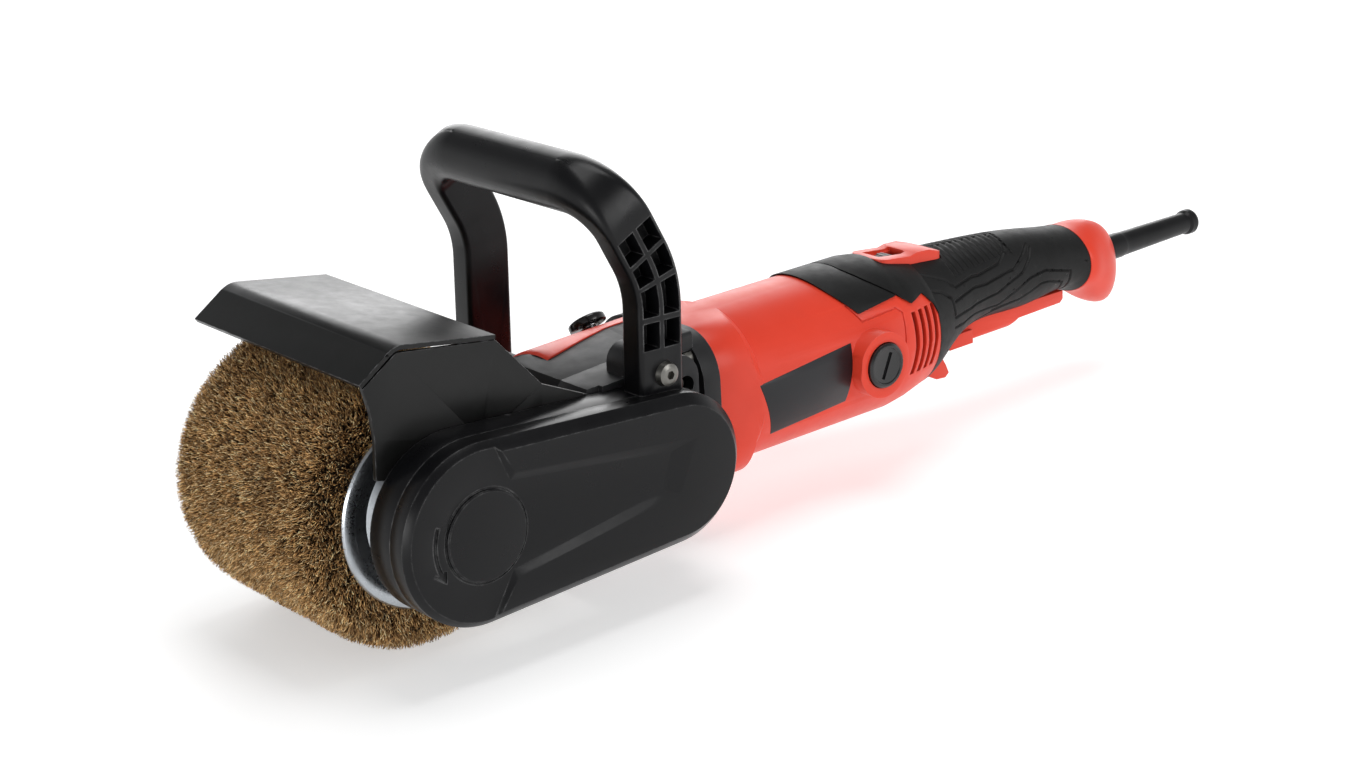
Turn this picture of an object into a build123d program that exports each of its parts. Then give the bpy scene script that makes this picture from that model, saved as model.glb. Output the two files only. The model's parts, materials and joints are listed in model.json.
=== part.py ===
from build123d import *
import math
import os

# Drum burnishing machine: a motor and long rear grip in line, a gear head, a belt case on the
# right-hand side and a wire brush drum across the front under a sheet-metal guard.
#
# Working frame, in millimetres: the origin is the drum's centre, +X runs along the drum's axis
# towards the belt case, +Y runs back along the motor's axis and +Z is up. Every piece is written
# out in the row frame, whose origin is below the middle of the machine at the drum's lowest point.

# ---- driving dimensions -------------------------------------------------------------------------
DRUM_R = 60.0
DRUM_HALF = 50.0
DRUM_SHOULDER = 13.0
FLANGE_R = 40.4
FLANGE_X = 47.3
HUB_R = 14.0
CORE_R = 30.0
ARBOR_R = 9.5
JOURNAL_R = 6.0

MOTOR_X = 16.0
AXIS_Z = -2.0
SPINDLE_Y = 97.0

CASE_X0 = 63.7
CASE_SPLIT = 77.0
CASE_X1 = 89.2
CASE_R_FRONT = 37.1
CASE_R_REAR = 31.8
CASE_WALL = 2.4
CASE_CHAMFER = 4.3
COVER_INSIDE_X = 86.3
COVER_STEP = 1.7
BOSS_R = 18.5
BOSS_H = 1.2

BEARING_R = 14.0
BEARING_W = 8.0
PULLEY_X0 = 75.2
PULLEY_X1 = 85.4
DRUM_PULLEY_R = 25.2
DRIVE_PULLEY_R = 18.9
SPINDLE_END_X = PULLEY_X1 + 0.4
BELT_T = 2.4
BELT_X0 = 76.6
BELT_X1 = 84.0

MODULE = 1.5
PINION_TEETH = 9
CROWN_TEETH = 36
TOOTH_LENGTH = 8.0

MOTOR_R = 36.0
MOTOR_Y0 = 150.0
MOTOR_TAPER_Y = 262.0
MOTOR_Y1 = 286.0
MOTOR_REAR_R = 31.6
FLANGE_HALF = 35.5
FLANGE_CORNER = 20.0
BRUSH_Y = 240.2
BRUSH_CAP_X = 59.8

GRIP_Y1 = 401.0
GRIP_T = 1.8
SHELL_T = 2.6
CAP_Y1 = 434.6
SLEEVE_Y1 = 500.0
CABLE_R = 3.8

HANDLE_OUT = 64.0
HANDLE_T = 12.4
HANDLE_D = 22.4
BAR_R = 12.0
HANDLE_BEND_R = 30.0
KINK = (98.0, 76.0)
HANDLE_BASE_Z = 28.0
BAR = (78.0, 115.6)
BOLT_YZ = (97.6, 37.5)
FAR_BASE_Z = 3.0
FAR_BOLT_YZ = (95.6, 14.0)
ARM_BEND_R = 46.0

SHEET_T = 2.0
GUARD_X0 = -56.0
GUARD_X1 = 63.5

RUN = 0.03
GAP = 0.3

MACHINE_X0 = -57.2
MACHINE_Y0 = -DRUM_R
ROW = Pos(-(MACHINE_X0 + CASE_X1) / 2, -(MACHINE_Y0 + SLEEVE_Y1) / 2, DRUM_R)

DRUM = (0.0, 0.0)
SPINDLE = (SPINDLE_Y, AXIS_Z)
PARTS = {}


# ---- helpers ------------------------------------------------------------------------------------
def keep(name, *solids):
    """Files the solids as one named sub-part."""
    PARTS[name] = [one for shape in solids for one in shape.solids()]


def cyl_x(radius, x0, x1, at=DRUM):
    """A cylinder along X between x0 and x1, on the axis at = (y, z)."""
    body = Cylinder(radius, x1 - x0, align=(Align.CENTER, Align.CENTER, Align.MIN))
    return Pos(x0, at[0], at[1]) * Rot(0, 90, 0) * body


def cyl_y(radius, y0, y1, x=MOTOR_X, z=AXIS_Z):
    body = Cylinder(radius, y1 - y0, align=(Align.CENTER, Align.CENTER, Align.MIN))
    return Pos(x, y0, z) * Rot(-90, 0, 0) * body


def cyl_z(radius, z0, z1, x, y):
    return Pos(x, y, z0) * Cylinder(radius, z1 - z0, align=(Align.CENTER, Align.CENTER, Align.MIN))


def tube_x(outer, inner, x0, x1, at=DRUM):
    return cyl_x(outer, x0, x1, at) - cyl_x(inner, x0 - 1, x1 + 1, at)


def tube_y(outer, inner, y0, y1, x=MOTOR_X, z=AXIS_Z):
    return cyl_y(outer, y0, y1, x, z) - cyl_y(inner, y0 - 1, y1 + 1, x, z)


def block(x0, x1, y0, y1, z0, z1):
    size = Box(x1 - x0, y1 - y0, z1 - z0, align=(Align.MIN, Align.MIN, Align.MIN))
    return Pos(x0, y0, z0) * size


def polygon(points):
    return make_face(Polyline(*points, close=True))


def turn_x(profile, at=DRUM):
    """Turns a profile of (x, radius) points about the X axis through at = (y, z)."""
    face = polygon([(x, 0, r) for x, r in profile])
    return Pos(0, at[0], at[1]) * revolve(face, axis=Axis.X)


def turn_y(profile):
    """Turns a profile of (y, radius) points about the motor's axis."""
    face = polygon([(0, y, r) for y, r in profile])
    return Pos(MOTOR_X, 0, AXIS_Z) * revolve(face, axis=Axis.Y)


def prism_x(outline, x0, x1):
    """Extrudes a flat (y, z) outline from x0 to x1."""
    return extrude(Plane.YZ.offset(x0) * outline, amount=x1 - x0)


def prism_y(outline, y0, y1):
    """Extrudes a flat (x, z) outline from y0 to y1."""
    return extrude(Plane.XZ.offset(-y1) * outline, amount=y1 - y0)


def side_polygon(points):
    """A closed (y, z) outline as a flat sketch."""
    return polygon([(y, z) for y, z in points])


def both_sides(shape):
    """The shape and its mirror image across the motor's vertical middle plane."""
    middle = Plane.YZ.offset(MOTOR_X)
    return shape, mirror(shape, about=middle)


def hex_x(across, x0, x1, at):
    outline = Pos(at[0], at[1]) * RegularPolygon(across / 2, 6, major_radius=False)
    return prism_x(outline, x0, x1)


def screw_y(x, z, y_head, y_tip, shank, head, head_t):
    """A socket screw along Y with its head at y_head, pointing to y_tip."""
    step = 1 if y_tip > y_head else -1
    low, high = sorted((y_head, y_head + step * head_t))
    far_low, far_high = sorted((y_head + step * head_t, y_tip))
    body = cyl_y(head, low, high, x, z) + cyl_y(shank, far_low, far_high, x, z)
    socket = prism_y(Pos(x, z) * RegularPolygon(head * 0.5, 6), low - 1, low + head_t * 0.5)
    if step < 0:
        socket = prism_y(Pos(x, z) * RegularPolygon(head * 0.5, 6), high - head_t * 0.5, high + 1)
    return body - socket


def screw_x(y, z, x_head, x_tip, shank, head, head_t):
    """A button-head socket screw along X with the top of its head at x_head."""
    step = 1 if x_tip > x_head else -1
    base = x_head + step * head_t
    low, high = sorted((base, x_tip))
    rim = x_head + step * head_t * 0.25
    dome = turn_x([(x_head, 0), (x_head, head * 0.55), (rim, head * 0.86), (base, head), (base, 0)], (y, z))
    body = dome + cyl_x(shank, low, high, (y, z))
    low, high = sorted((x_head - step, x_head + step * head_t * 0.65))
    return body - hex_x(head * 0.62, low, high, (y, z))


def ball_bearing_x(outer, bore, x0, x1, at):
    """Outer ring, inner ring and shields of a ball bearing as one closed ring."""
    ring = tube_x(outer, bore, x0, x1, at)
    groove = tube_x(outer * 0.84, bore + (outer - bore) * 0.28, x0 - 1, x0 + 0.5, at)
    back = tube_x(outer * 0.84, bore + (outer - bore) * 0.28, x1 - 0.5, x1 + 1, at)
    return ring - groove - back


def ball_bearing_y(outer, bore, y0, y1):
    ring = tube_y(outer, bore, y0, y1)
    groove = tube_y(outer * 0.84, bore + (outer - bore) * 0.28, y0 - 1, y0 + 0.5)
    back = tube_y(outer * 0.84, bore + (outer - bore) * 0.28, y1 - 0.5, y1 + 1)
    return ring - groove - back


def coil(path_radius, wire_r, length, turns):
    """A compression spring along +Z from the origin."""
    helix = Helix(length / turns, length, path_radius)
    section = Plane(origin=helix @ 0, z_dir=helix % 0) * Circle(wire_r)
    return sweep(section, path=helix, is_frenet=True)


# ---- brush drum, turning about X ----------------------------------------------------------------
def drum_parts():
    spindle = turn_x([
        (-DRUM_HALF + 1.2, 0), (-DRUM_HALF + 1.2, ARBOR_R), (51.5, ARBOR_R), (51.5, 12.0),
        (54.8, 12.0), (54.8, 8.0), (56.5, 8.0), (56.5, JOURNAL_R), (SPINDLE_END_X, JOURNAL_R),
        (SPINDLE_END_X, 0)])
    key = block(-20, 20, -2.5, 2.5, ARBOR_R - 2.5, ARBOR_R + 2.0)
    spindle = spindle - key - cyl_x(4.0, -DRUM_HALF, -DRUM_HALF + 26)
    core = tube_x(HUB_R, ARBOR_R, -FLANGE_X, FLANGE_X) + tube_x(CORE_R, CORE_R - 4, -FLANGE_X, FLANGE_X)
    for x in (-FLANGE_X, -15.0, 12.0, FLANGE_X - 3):
        core += tube_x(CORE_R - 2, HUB_R - 2, x, x + 3)
    half, shoulder = DRUM_HALF, DRUM_SHOULDER
    outline = [(-FLANGE_X, CORE_R), (-FLANGE_X, FLANGE_R + 0.4), (-half, FLANGE_R + 1.6),
               (-half, DRUM_R - shoulder)]
    steps = 6
    for i in range(1, steps + 1):
        a = math.pi / 2 * i / steps
        outline.append((-half + shoulder * (1 - math.cos(a)), DRUM_R - shoulder * (1 - math.sin(a))))
    outline += [(-x, r) for x, r in reversed(outline)]
    room_x = FLANGE_X - 4.0
    crust = DRUM_R - 5.0
    outline += [(room_x, CORE_R), (room_x, crust - 6.0), (room_x - 6.0, crust),
                (6.0 - room_x, crust), (-room_x, crust - 6.0), (-room_x, CORE_R)]
    keep("drum_spindle", spindle)
    keep("spindle_key", key)
    keep("drum_core", core - key)
    keep("bristle_pack", turn_x(outline))
    keep("drum_flanges", drum_flange(1), drum_flange(-1))
    nose = -DRUM_HALF - 2.0
    bolt = hex_x(13.0, MACHINE_X0, nose, DRUM) & turn_x([
        (MACHINE_X0, 0), (MACHINE_X0, 6.4), (MACHINE_X0 + 1.2, 7.6), (nose, 7.6), (nose, 0)])
    washer = turn_x([(nose, 0), (nose, 12.4), (nose + 0.6, 13.0), (-DRUM_HALF - 0.1, 13.0), (-DRUM_HALF - 0.1, 0)])
    keep("drum_bolt", bolt + washer + cyl_x(4.0, nose, -DRUM_HALF + 25))


def drum_flange(side):
    """A pressed disc: flat rim with a rolled edge, dished in towards the hub."""
    t = 1.2
    face = [(FLANGE_X, FLANGE_R - 0.4), (FLANGE_X + 2.0, FLANGE_R), (FLANGE_X + 2.9, FLANGE_R - 0.8),
            (FLANGE_X + 3.3, FLANGE_R - 2.4), (FLANGE_X + 3.3, FLANGE_R - 5.2),
            (FLANGE_X + 1.8, FLANGE_R - 6.4), (FLANGE_X + 1.8, 29.0), (FLANGE_X + 3.6, 26.6),
            (FLANGE_X + 3.6, 20.0), (FLANGE_X + t, 18.0), (FLANGE_X + t, ARBOR_R), (FLANGE_X, ARBOR_R),
            (FLANGE_X, 18.6), (FLANGE_X + 2.4, 20.6), (FLANGE_X + 2.4, 26.0), (FLANGE_X + 0.6, 28.4),
            (FLANGE_X + 0.6, FLANGE_R - 6.6), (FLANGE_X + 2.1, FLANGE_R - 4.8), (FLANGE_X + 2.1, FLANGE_R - 2.6)]
    return turn_x([(side * x, r) for x, r in face])


def pulley(pitch, x0, x1, at):
    """A ribbed belt pulley with two flanges and a recess for its nut."""
    face = pitch - 0.12
    profile = [(x0, 0), (x0, face + 3.2), (x0 + 1.1, face + 3.2), (x0 + 1.3, face)]
    ribs = 4
    width = (x1 - x0 - 2.6) / ribs
    for i in range(ribs):
        left = x0 + 1.3 + i * width
        profile += [(left + width * 0.5, face - 0.9), (left + width, face)]
    profile += [(x1 - 1.1, face + 3.2), (x1, face + 3.2), (x1, 0)]
    wheel = turn_x(profile, at) - cyl_x(JOURNAL_R, x0 - 1, x1 + 1, at)
    wheel -= tube_x(face - 3.5, 11.5, x1 - 3.4, x1 + 1, at)
    return wheel - cyl_x(9.6, x1 - 4.2, x1 + 1, at)


def pulley_nut(at):
    nut = hex_x(15.0, PULLEY_X1 - 4.2, PULLEY_X1 + 0.3, at)
    return nut - cyl_x(JOURNAL_R, PULLEY_X0, PULLEY_X1 + 2, at)


# ---- output spindle and gears -------------------------------------------------------------------
def output_parts():
    at = SPINDLE
    spindle = turn_x([
        (-8, 0), (-8, 5.0), (3, 5.0), (3, 7.5), (24, 7.5), (24, 9.5), (31.6, 9.5), (31.6, 8.0),
        (45.0, 8.0), (45.0, JOURNAL_R), (SPINDLE_END_X, JOURNAL_R), (SPINDLE_END_X, 0)], at)
    sleeve = tube_x(8.4, JOURNAL_R, 53.2, 65.8, at)
    keep("output_spindle", spindle + sleeve)
    keep("crown_gear", crown_gear())
    keep("drive_pulley", pulley(DRIVE_PULLEY_R, PULLEY_X0, PULLEY_X1, at))
    keep("drive_pulley_nut", pulley_nut(at))
    keep("drum_pulley", pulley(DRUM_PULLEY_R, PULLEY_X0, PULLEY_X1, DRUM))
    keep("drum_pulley_nut", pulley_nut(DRUM))


def bevel_teeth(teeth, cone_deg, offset):
    """Straight bevel teeth that converge on the origin, about +Z, opening towards +Z."""
    cone = math.radians(cone_deg)
    outer = MODULE * teeth / (2 * math.sin(cone))
    ratio = (outer - TOOTH_LENGTH) / outer
    half = math.pi * MODULE / 4 - 0.16
    tip, root = 0.85 * MODULE, 1.25 * MODULE
    outline = [(-half - root * 0.30, -root), (half + root * 0.30, -root), (half, 0),
               (half - tip * 0.50, tip), (-half + tip * 0.50, tip), (-half, 0)]
    along = Vector(math.sin(cone), 0, math.cos(cone))
    rise = Vector(math.cos(cone), 0, -math.sin(cone))

    def end(scale):
        plane = Plane(origin=along * outer * scale, x_dir=(0, 1, 0), z_dir=along)
        up = 1 if plane.y_dir.dot(rise) > 0 else -1
        return plane * polygon([(t * scale, up * h * scale) for t, h in outline])

    tooth = loft([end(ratio), end(1.0)], ruled=True)
    pitch = 360.0 / teeth
    return [Rot(0, 0, (i + offset) * pitch) * tooth for i in range(teeth)]


def bevel_blank(teeth, cone_deg, back, bore):
    """The cone under the teeth, with a plain back at height back along +Z."""
    cone = math.radians(cone_deg)
    outer = MODULE * teeth / (2 * math.sin(cone))
    inner = outer - TOOTH_LENGTH

    def at(distance, height):
        return (distance * math.sin(cone) + height * math.cos(cone),
                distance * math.cos(cone) - height * math.sin(cone))

    root = -1.15 * MODULE
    (r0, z0), (r1, z1) = at(inner, root * inner / outer), at(outer, root)
    face = polygon([(bore, 0, z0), (r0, 0, z0), (r1, 0, z1), (r1 - 0.6, 0, back), (bore, 0, back)])
    return revolve(face, axis=Axis.Z)


CONE_PINION = math.degrees(math.atan2(PINION_TEETH, CROWN_TEETH))
CONE_CROWN = 90.0 - CONE_PINION


def crown_gear():
    gear = bevel_blank(CROWN_TEETH, CONE_CROWN, 14.0, 9.5)
    for tooth in bevel_teeth(CROWN_TEETH, CONE_CROWN, 0.5):
        gear += tooth
    gear = gear - Cylinder(9.5, 60)
    lighten = Pos(0, 0, 13.0) * (Cylinder(22, 4) - Cylinder(13, 4))
    # the local +X direction, where a gap lies, is turned to the machine's +Y
    return Pos(MOTOR_X, *SPINDLE) * Rot(0, 90, 0) * Rot(0, 0, 90) * (gear - lighten)


def bevel_pinion():
    blank = bevel_blank(PINION_TEETH, CONE_PINION, 31.0, 0.0)
    gear = blank + Pos(0, 0, 30.0) * Cylinder(7.5, 3.6)
    for tooth in bevel_teeth(PINION_TEETH, CONE_PINION, 0.0):
        gear += tooth
    gear = gear - Pos(0, 0, 29.0) * Cylinder(3.5, 8)
    return Pos(MOTOR_X, *SPINDLE) * Rot(-90, 0, 0) * gear


# ---- motor --------------------------------------------------------------------------------------
def armature_parts():
    keep("bevel_pinion", bevel_pinion())
    shaft = turn_y([
        (122.2, 0), (122.2, 3.5), (128.8, 3.5), (128.8, JOURNAL_R), (165, JOURNAL_R), (165, 6.6),
        (252, 6.6), (252, 4.0), (262.5, 4.0), (262.5, 0)])
    core = cyl_y(18.4, 176, 218)
    slots = 12
    for i in range(slots):
        slot = Pos(MOTOR_X, 0, AXIS_Z) * Rot(0, i * 360 / slots, 0) * block(-1.1, 1.1, 175, 219, 13.0, 19)
        core -= slot
    windings = turn_y([(164, 7.5), (164, 13), (167, 16), (176, 16.4), (176, 7.5)])
    windings += turn_y([(218, 7.5), (218, 16.4), (226, 15), (229, 11.5), (229, 7.5)])
    commutator = tube_y(12.0, 6.6, 231, 250) + tube_y(13.2, 6.6, 229, 232)
    bars = 24
    for i in range(bars):
        commutator -= Pos(MOTOR_X, 0, AXIS_Z) * Rot(0, i * 360 / bars, 0) * block(
            -0.35, 0.35, 233, 251, 11.2, 13)
    fan = tube_y(30.5, 6.0, 160.5, 162.5) + tube_y(10, 6.0, 152, 162)
    blades = 11
    for i in range(blades):
        blade = Pos(MOTOR_X, 0, AXIS_Z) * Rot(0, i * 360 / blades, 0) * block(
            -0.9, 0.9, 152.5, 161, 9.0, 30)
        fan += blade
    keep("armature_shaft", shaft)
    keep("armature_core", core - cyl_y(6.6, 170, 225))
    keep("armature_windings", windings - cyl_y(6.6, 160, 231))
    keep("commutator", commutator)
    keep("cooling_fan", fan)


def stator_parts():
    core = tube_y(32.7, 19.2, 176, 218)
    core -= Pos(MOTOR_X, 0, AXIS_Z) * block(-30, 30, 175, 219, -6, 6) & tube_y(28.5, 19.0, 175, 219)
    coils = tube_y(27.6, 20.4, 218.5, 226) + tube_y(27.6, 20.4, 168, 175.5)
    for side in (-1, 1):
        coils += Pos(MOTOR_X, 0, AXIS_Z) * block(side * 24 - 3.6, side * 24 + 3.6, 167, 227, -5.2, 5.2)
    keep("stator_core", core)
    keep("field_coils", coils)
    keep("armature_bearings", ball_bearing_y(BEARING_R, JOURNAL_R + RUN, 131, 139),
         ball_bearing_y(11.0, 4.0 + RUN, 254, 261))
    keep("bearing_retainer", tube_y(20, 8.5, 139.2, 141.2)
         - cyl_y(1.7, 138, 143, MOTOR_X + 16.5, AXIS_Z) - cyl_y(1.7, 138, 143, MOTOR_X - 16.5, AXIS_Z))


def rounded_flange(half, corner, y0, y1):
    outline = Pos(MOTOR_X, AXIS_Z) * RectangleRounded(2 * half, 2 * half, corner)
    return prism_y(outline, y0, y1)


CORNER_SCREWS = [(MOTOR_X + sx * 26.2, AXIS_Z + sz * 26.2) for sx in (-1, 1) for sz in (-1, 1)]
LABEL = [(172, 5.2), (227.2, 10.0), (226.0, -0.5), (223.8, -16.6), (180.6, -20.5)]
PANEL_LINE = [(232.5, 24.0), (237.5, 16.5), (258.5, 17.5), (261.5, 15.0), (259.5, 2.0)]
VENTS = 4


def motor_housing():
    collar = rounded_flange(FLANGE_HALF, FLANGE_CORNER, MOTOR_Y0, 174)
    collar = collar & turn_y([(149, 0), (149, 44), (166, 44), (169, 39.2), (174, 36.0), (174, 0)])
    body = turn_y([(MOTOR_Y0, 0), (MOTOR_Y0, 33.5), (MOTOR_Y0 + 1, MOTOR_R - 0.8), (172, MOTOR_R),
                   (MOTOR_TAPER_Y, MOTOR_R), (MOTOR_TAPER_Y + 10, MOTOR_R - 1.3),
                   (MOTOR_Y1, MOTOR_REAR_R), (MOTOR_Y1, 0)])
    body = collar + body
    boss = [cyl_x(15.0, MOTOR_X + 20, 58.0, (BRUSH_Y, AXIS_Z)),
            cyl_x(15.0, 2 * MOTOR_X - 58.0, MOTOR_X - 20, (BRUSH_Y, AXIS_Z))]
    body = body + boss[0] + boss[1]
    hollow = turn_y([(149, 0), (149, 32.9), (MOTOR_TAPER_Y, 32.9), (MOTOR_TAPER_Y + 10, 31.8),
                     (MOTOR_Y1 + 1, MOTOR_REAR_R - 3), (MOTOR_Y1 + 1, 0)])
    web = tube_y(33.2, 11.0, 252.5, 261.5) - cyl_y(16, 251, 254)
    for i in range(6):
        window = Pos(MOTOR_X, 0, AXIS_Z) * Rot(0, 30 + 60 * i, 0) * block(-7, 7, 250, 265, 18, 29)
        web -= window
    body = (body - hollow) + web
    bore = cyl_x(10.6, MOTOR_X - 60, MOTOR_X + 60, (BRUSH_Y, AXIS_Z))
    body -= bore
    for x, z in CORNER_SCREWS:
        body -= cyl_y(2.0, 149, 168, x, z)
    for i in range(VENTS):
        y = 266.5 + 5.0 * i
        body -= vent_cutter(y)
    skin = turn_y([(160, 0), (160, 50), (270, 50), (270, 0)]) - cyl_y(MOTOR_R - 0.6, 150, 280)
    pocket = prism_x(side_polygon(LABEL), -40, 72) & skin
    body -= pocket
    body -= dial_opening()
    line = prism_x(trace(Polyline(*[(y, z) for y, z in PANEL_LINE]), 0.9), -40, 72)
    body -= (line & skin) - tube_y(50, MOTOR_R + 1.5, 150, 280)
    return body


def vent_cutter(y):
    """One bent slot through both side walls."""
    width = 2.9
    spine = [(y - 2.9, -15.0), (y - 0.4, -2.0), (y + 0.5, 13.5)]
    outline = spine + [(py + width, pz) for py, pz in reversed(spine)]
    near = prism_x(side_polygon(outline), MOTOR_X + 20, MOTOR_X + 50)
    return near + prism_x(side_polygon(outline), MOTOR_X - 50, MOTOR_X - 20)


def motor_case_parts():
    keep("motor_housing", motor_housing())
    plate = prism_x(side_polygon(LABEL), -40, 72) & tube_y(MOTOR_R + 0.15, MOTOR_R - 0.6, 165, 235)
    keep("side_label_plates", plate)
    at = (BRUSH_Y, AXIS_Z)
    slot = Pos(BRUSH_CAP_X, *at) * Rot(-24, 0, 0) * Box(3.2, 2.0, 12.6)
    cap = turn_x([(50, 0), (50, 10.2), (BRUSH_CAP_X - 0.8, 10.2), (BRUSH_CAP_X, 9.3),
                  (BRUSH_CAP_X, 8.3), (BRUSH_CAP_X - 0.6, 7.9), (BRUSH_CAP_X - 0.6, 0)], at) - slot
    holder = block(MOTOR_X + 14.0, 50, BRUSH_Y - 5.6, BRUSH_Y + 5.6, AXIS_Z - 4.6, AXIS_Z + 4.6)
    holder = holder - block(MOTOR_X + 13, 51, BRUSH_Y - 4, BRUSH_Y + 4, AXIS_Z - 3.1, AXIS_Z + 3.1)
    brush = block(MOTOR_X + 12.2, MOTOR_X + 24, BRUSH_Y - 3.9, BRUSH_Y + 3.9, AXIS_Z - 3.0, AXIS_Z + 3.0)
    turns = 5
    spring = Pos(MOTOR_X + 24.35, *at) * Rot(0, 90, 0) * coil(2.4, 0.35, 9.0, turns)
    keep("brush_caps", *both_sides(cap))
    keep("brush_holders", *both_sides(holder))
    keep("carbon_brushes", *both_sides(brush))
    keep("brush_springs", *both_sides(spring))


# ---- gear head ----------------------------------------------------------------------------------
HEAD_SIDE = [(72, 33.0), (104, 35.0), (142, 36.0), (142, -38.0), (76, -38.0), (66, -30.0), (66, 24.0)]
HEAD_FAR_X = MOTOR_X - 34.0
HEAD_SPLIT = 44.0
HEAD_SCREWS = [(73, 22), (121, 22), (73, -26), (121, -26)]
HEAD_SCREW_X = CASE_X0 - 4.0


def head_section(x1):
    """The gear head seen along the motor: round on the far side and square towards the belt case."""
    round_half = Pos(MOTOR_X, AXIS_Z) * Circle(36.0)
    square = Pos((MOTOR_X - 6 + x1) / 2, AXIS_Z) * RectangleRounded(x1 - MOTOR_X + 6, 76, 2.0)
    return round_half + square


def head_block(x1):
    return prism_x(side_polygon(HEAD_SIDE), MOTOR_X - 40, x1) & prism_y(head_section(x1), 60, 142)


def handle_lug(x0, x1):
    y, z = BOLT_YZ
    return cyl_x(8.0, x0, x1, (y, z)) + block(x0, x1, y - 8.0, y + 8.0, z - 14.0, z)


def far_lug(x0, x1):
    """The boss on the round side of the gear head that the handle's longer arm is bolted to."""
    return cyl_x(8.0, x0, x1, FAR_BOLT_YZ)


def head_parts():
    at = SPINDLE
    case = head_block(HEAD_SPLIT)
    case += rounded_flange(FLANGE_HALF, FLANGE_CORNER, 141, MOTOR_Y0 - 0.02)
    gear_room = cyl_x(30.4, 8.5, HEAD_SPLIT + 1, at)
    case -= gear_room + cyl_y(12.5, 95, 131) + cyl_y(BEARING_R, 131, 139) + cyl_y(20.2, 139, 151)
    case -= cyl_y(31.6, 151.0 - 8.5, 151)
    case -= cyl_x(7.5, -9.5, 9, at)
    case += far_lug(HEAD_FAR_X - 17.6, MOTOR_X - 22)
    case -= cyl_x(3.0, -40, -17, FAR_BOLT_YZ)
    for x, z in CORNER_SCREWS:
        case -= cyl_y(2.2, 130, 151, x, z) + cyl_y(4.2, 124, 140.8, x, z)
    case -= lock_bore()
    outline = side_polygon(HEAD_SIDE) & (Pos(*SPINDLE) * RectangleRounded(62, 76, 11))
    cover = prism_x(outline, HEAD_SPLIT, CASE_X0)
    cover += cyl_x(17.8, CASE_X0 - 1, 74.4, at)
    cover += handle_lug(52.0, 67.3) - case_prism(0.05, CASE_X0, 80)
    cover -= block(GUARD_X1 - SHEET_T - GAP, CASE_X0 + 1, 60, 78, 8, 45) - case_prism(0, CASE_X0, 70)
    for x, z in CORNER_SCREWS:
        cover -= cyl_y(4.2, 124, 141, x, z)
    cover -= cyl_x(BEARING_R, HEAD_SPLIT - 1, 53.2, at) + cyl_x(9.2, 50, 76, at)
    cover -= cyl_x(BEARING_R, 65.8, 76, at)
    cover -= cyl_x(3.0, 51, 70, BOLT_YZ)
    for spot in HEAD_SCREWS:
        cover -= cyl_x(2.2, HEAD_SPLIT - 1, CASE_X0 + 1, spot)
        cover -= cyl_x(4.3, HEAD_SCREW_X - 4.0, CASE_X0 + 1, spot)
        case -= cyl_x(2.0, HEAD_SPLIT - 14, HEAD_SPLIT + 1, spot)
    keep("gear_housing", case)
    keep("output_housing", cover)
    screws = [screw_x(y, z, HEAD_SCREW_X, HEAD_SPLIT - 10, 2.0, 4.0, 4.0) for y, z in HEAD_SCREWS]
    screws += [screw_y(x, z, 136.8, 166, 2.0, 3.6, 4.0) for x, z in CORNER_SCREWS]
    keep("gear_housing_screws", *screws)
    keep("spindle_bearings", ball_bearing_x(BEARING_R, JOURNAL_R + RUN, 45.2, 53.2, at),
         ball_bearing_x(BEARING_R, JOURNAL_R + RUN, 65.8, 73.8, at),
         tube_x(7.5, 5.0 + RUN, -8.5, 2.5, at),
         ball_bearing_x(BEARING_R, JOURNAL_R + RUN, 56.6, 64.6, DRUM),
         ball_bearing_x(BEARING_R, JOURNAL_R + RUN, 66.6, 74.6, DRUM))


LOCK_Y = 128.0


def lock_frame():
    """The spindle lock's axis runs square into the far upper side of the round part."""
    return Pos(MOTOR_X, LOCK_Y, AXIS_Z) * Rot(0, -38, 0)


def lock_bore():
    reach = Cylinder(3.2, 30, align=(Align.CENTER, Align.CENTER, Align.MIN))
    seat = Cylinder(6.0, 8, align=(Align.CENTER, Align.CENTER, Align.MIN))
    return lock_frame() * (Pos(0, 0, 14.6) * reach + Pos(0, 0, 29.5) * seat)


def lock_parts():
    pin = Cylinder(3.1, 20, align=(Align.CENTER, Align.CENTER, Align.MIN))
    head = Cylinder(8.5, 3.4, align=(Align.CENTER, Align.CENTER, Align.MIN))
    head = fillet(head.edges().group_by(Axis.Z)[-1], 1.4)
    button = Pos(0, 0, 18.5) * pin + Pos(0, 0, 40.6) * head
    button += Pos(0, 0, 38.0) * Cylinder(3.1, 3, align=(Align.CENTER, Align.CENTER, Align.MIN))
    keep("spindle_lock_button", lock_frame() * button)
    spring = coil(4.4, 0.4, 9.6, 5)
    keep("spindle_lock_spring", lock_frame() * Pos(0, 0, 30.2) * spring)


def gear_shroud():
    """The coloured cover over the far, round side of the gear head."""
    outer = turn_y([(78, 0), (78, 34.0), (84, 37.0), (110, 37.8), (141, 38.6), (141, 0)])
    inner = turn_y([(60, 0), (60, 36.05), (145, 36.05), (145, 0)])
    shell = outer - inner
    far = polygon([(-40, 60), (24.5, 60), (24.0, 75), (12.0, 121), (12.0, 142), (-40, 142)])
    shell = shell & extrude(Pos(0, 0, -60) * far, amount=120)
    shell -= lock_frame() * Pos(0, 0, 30) * Cylinder(9.4, 14, align=(Align.CENTER, Align.CENTER, Align.MIN))
    shell -= far_lug(-60, MOTOR_X - 12)
    shell -= head_block(HEAD_SPLIT)
    for x, z in CORNER_SCREWS:
        shell -= cyl_y(4.2, 124, 141, x, z)
    keep("gear_head_shroud", largest(shell))


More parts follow.
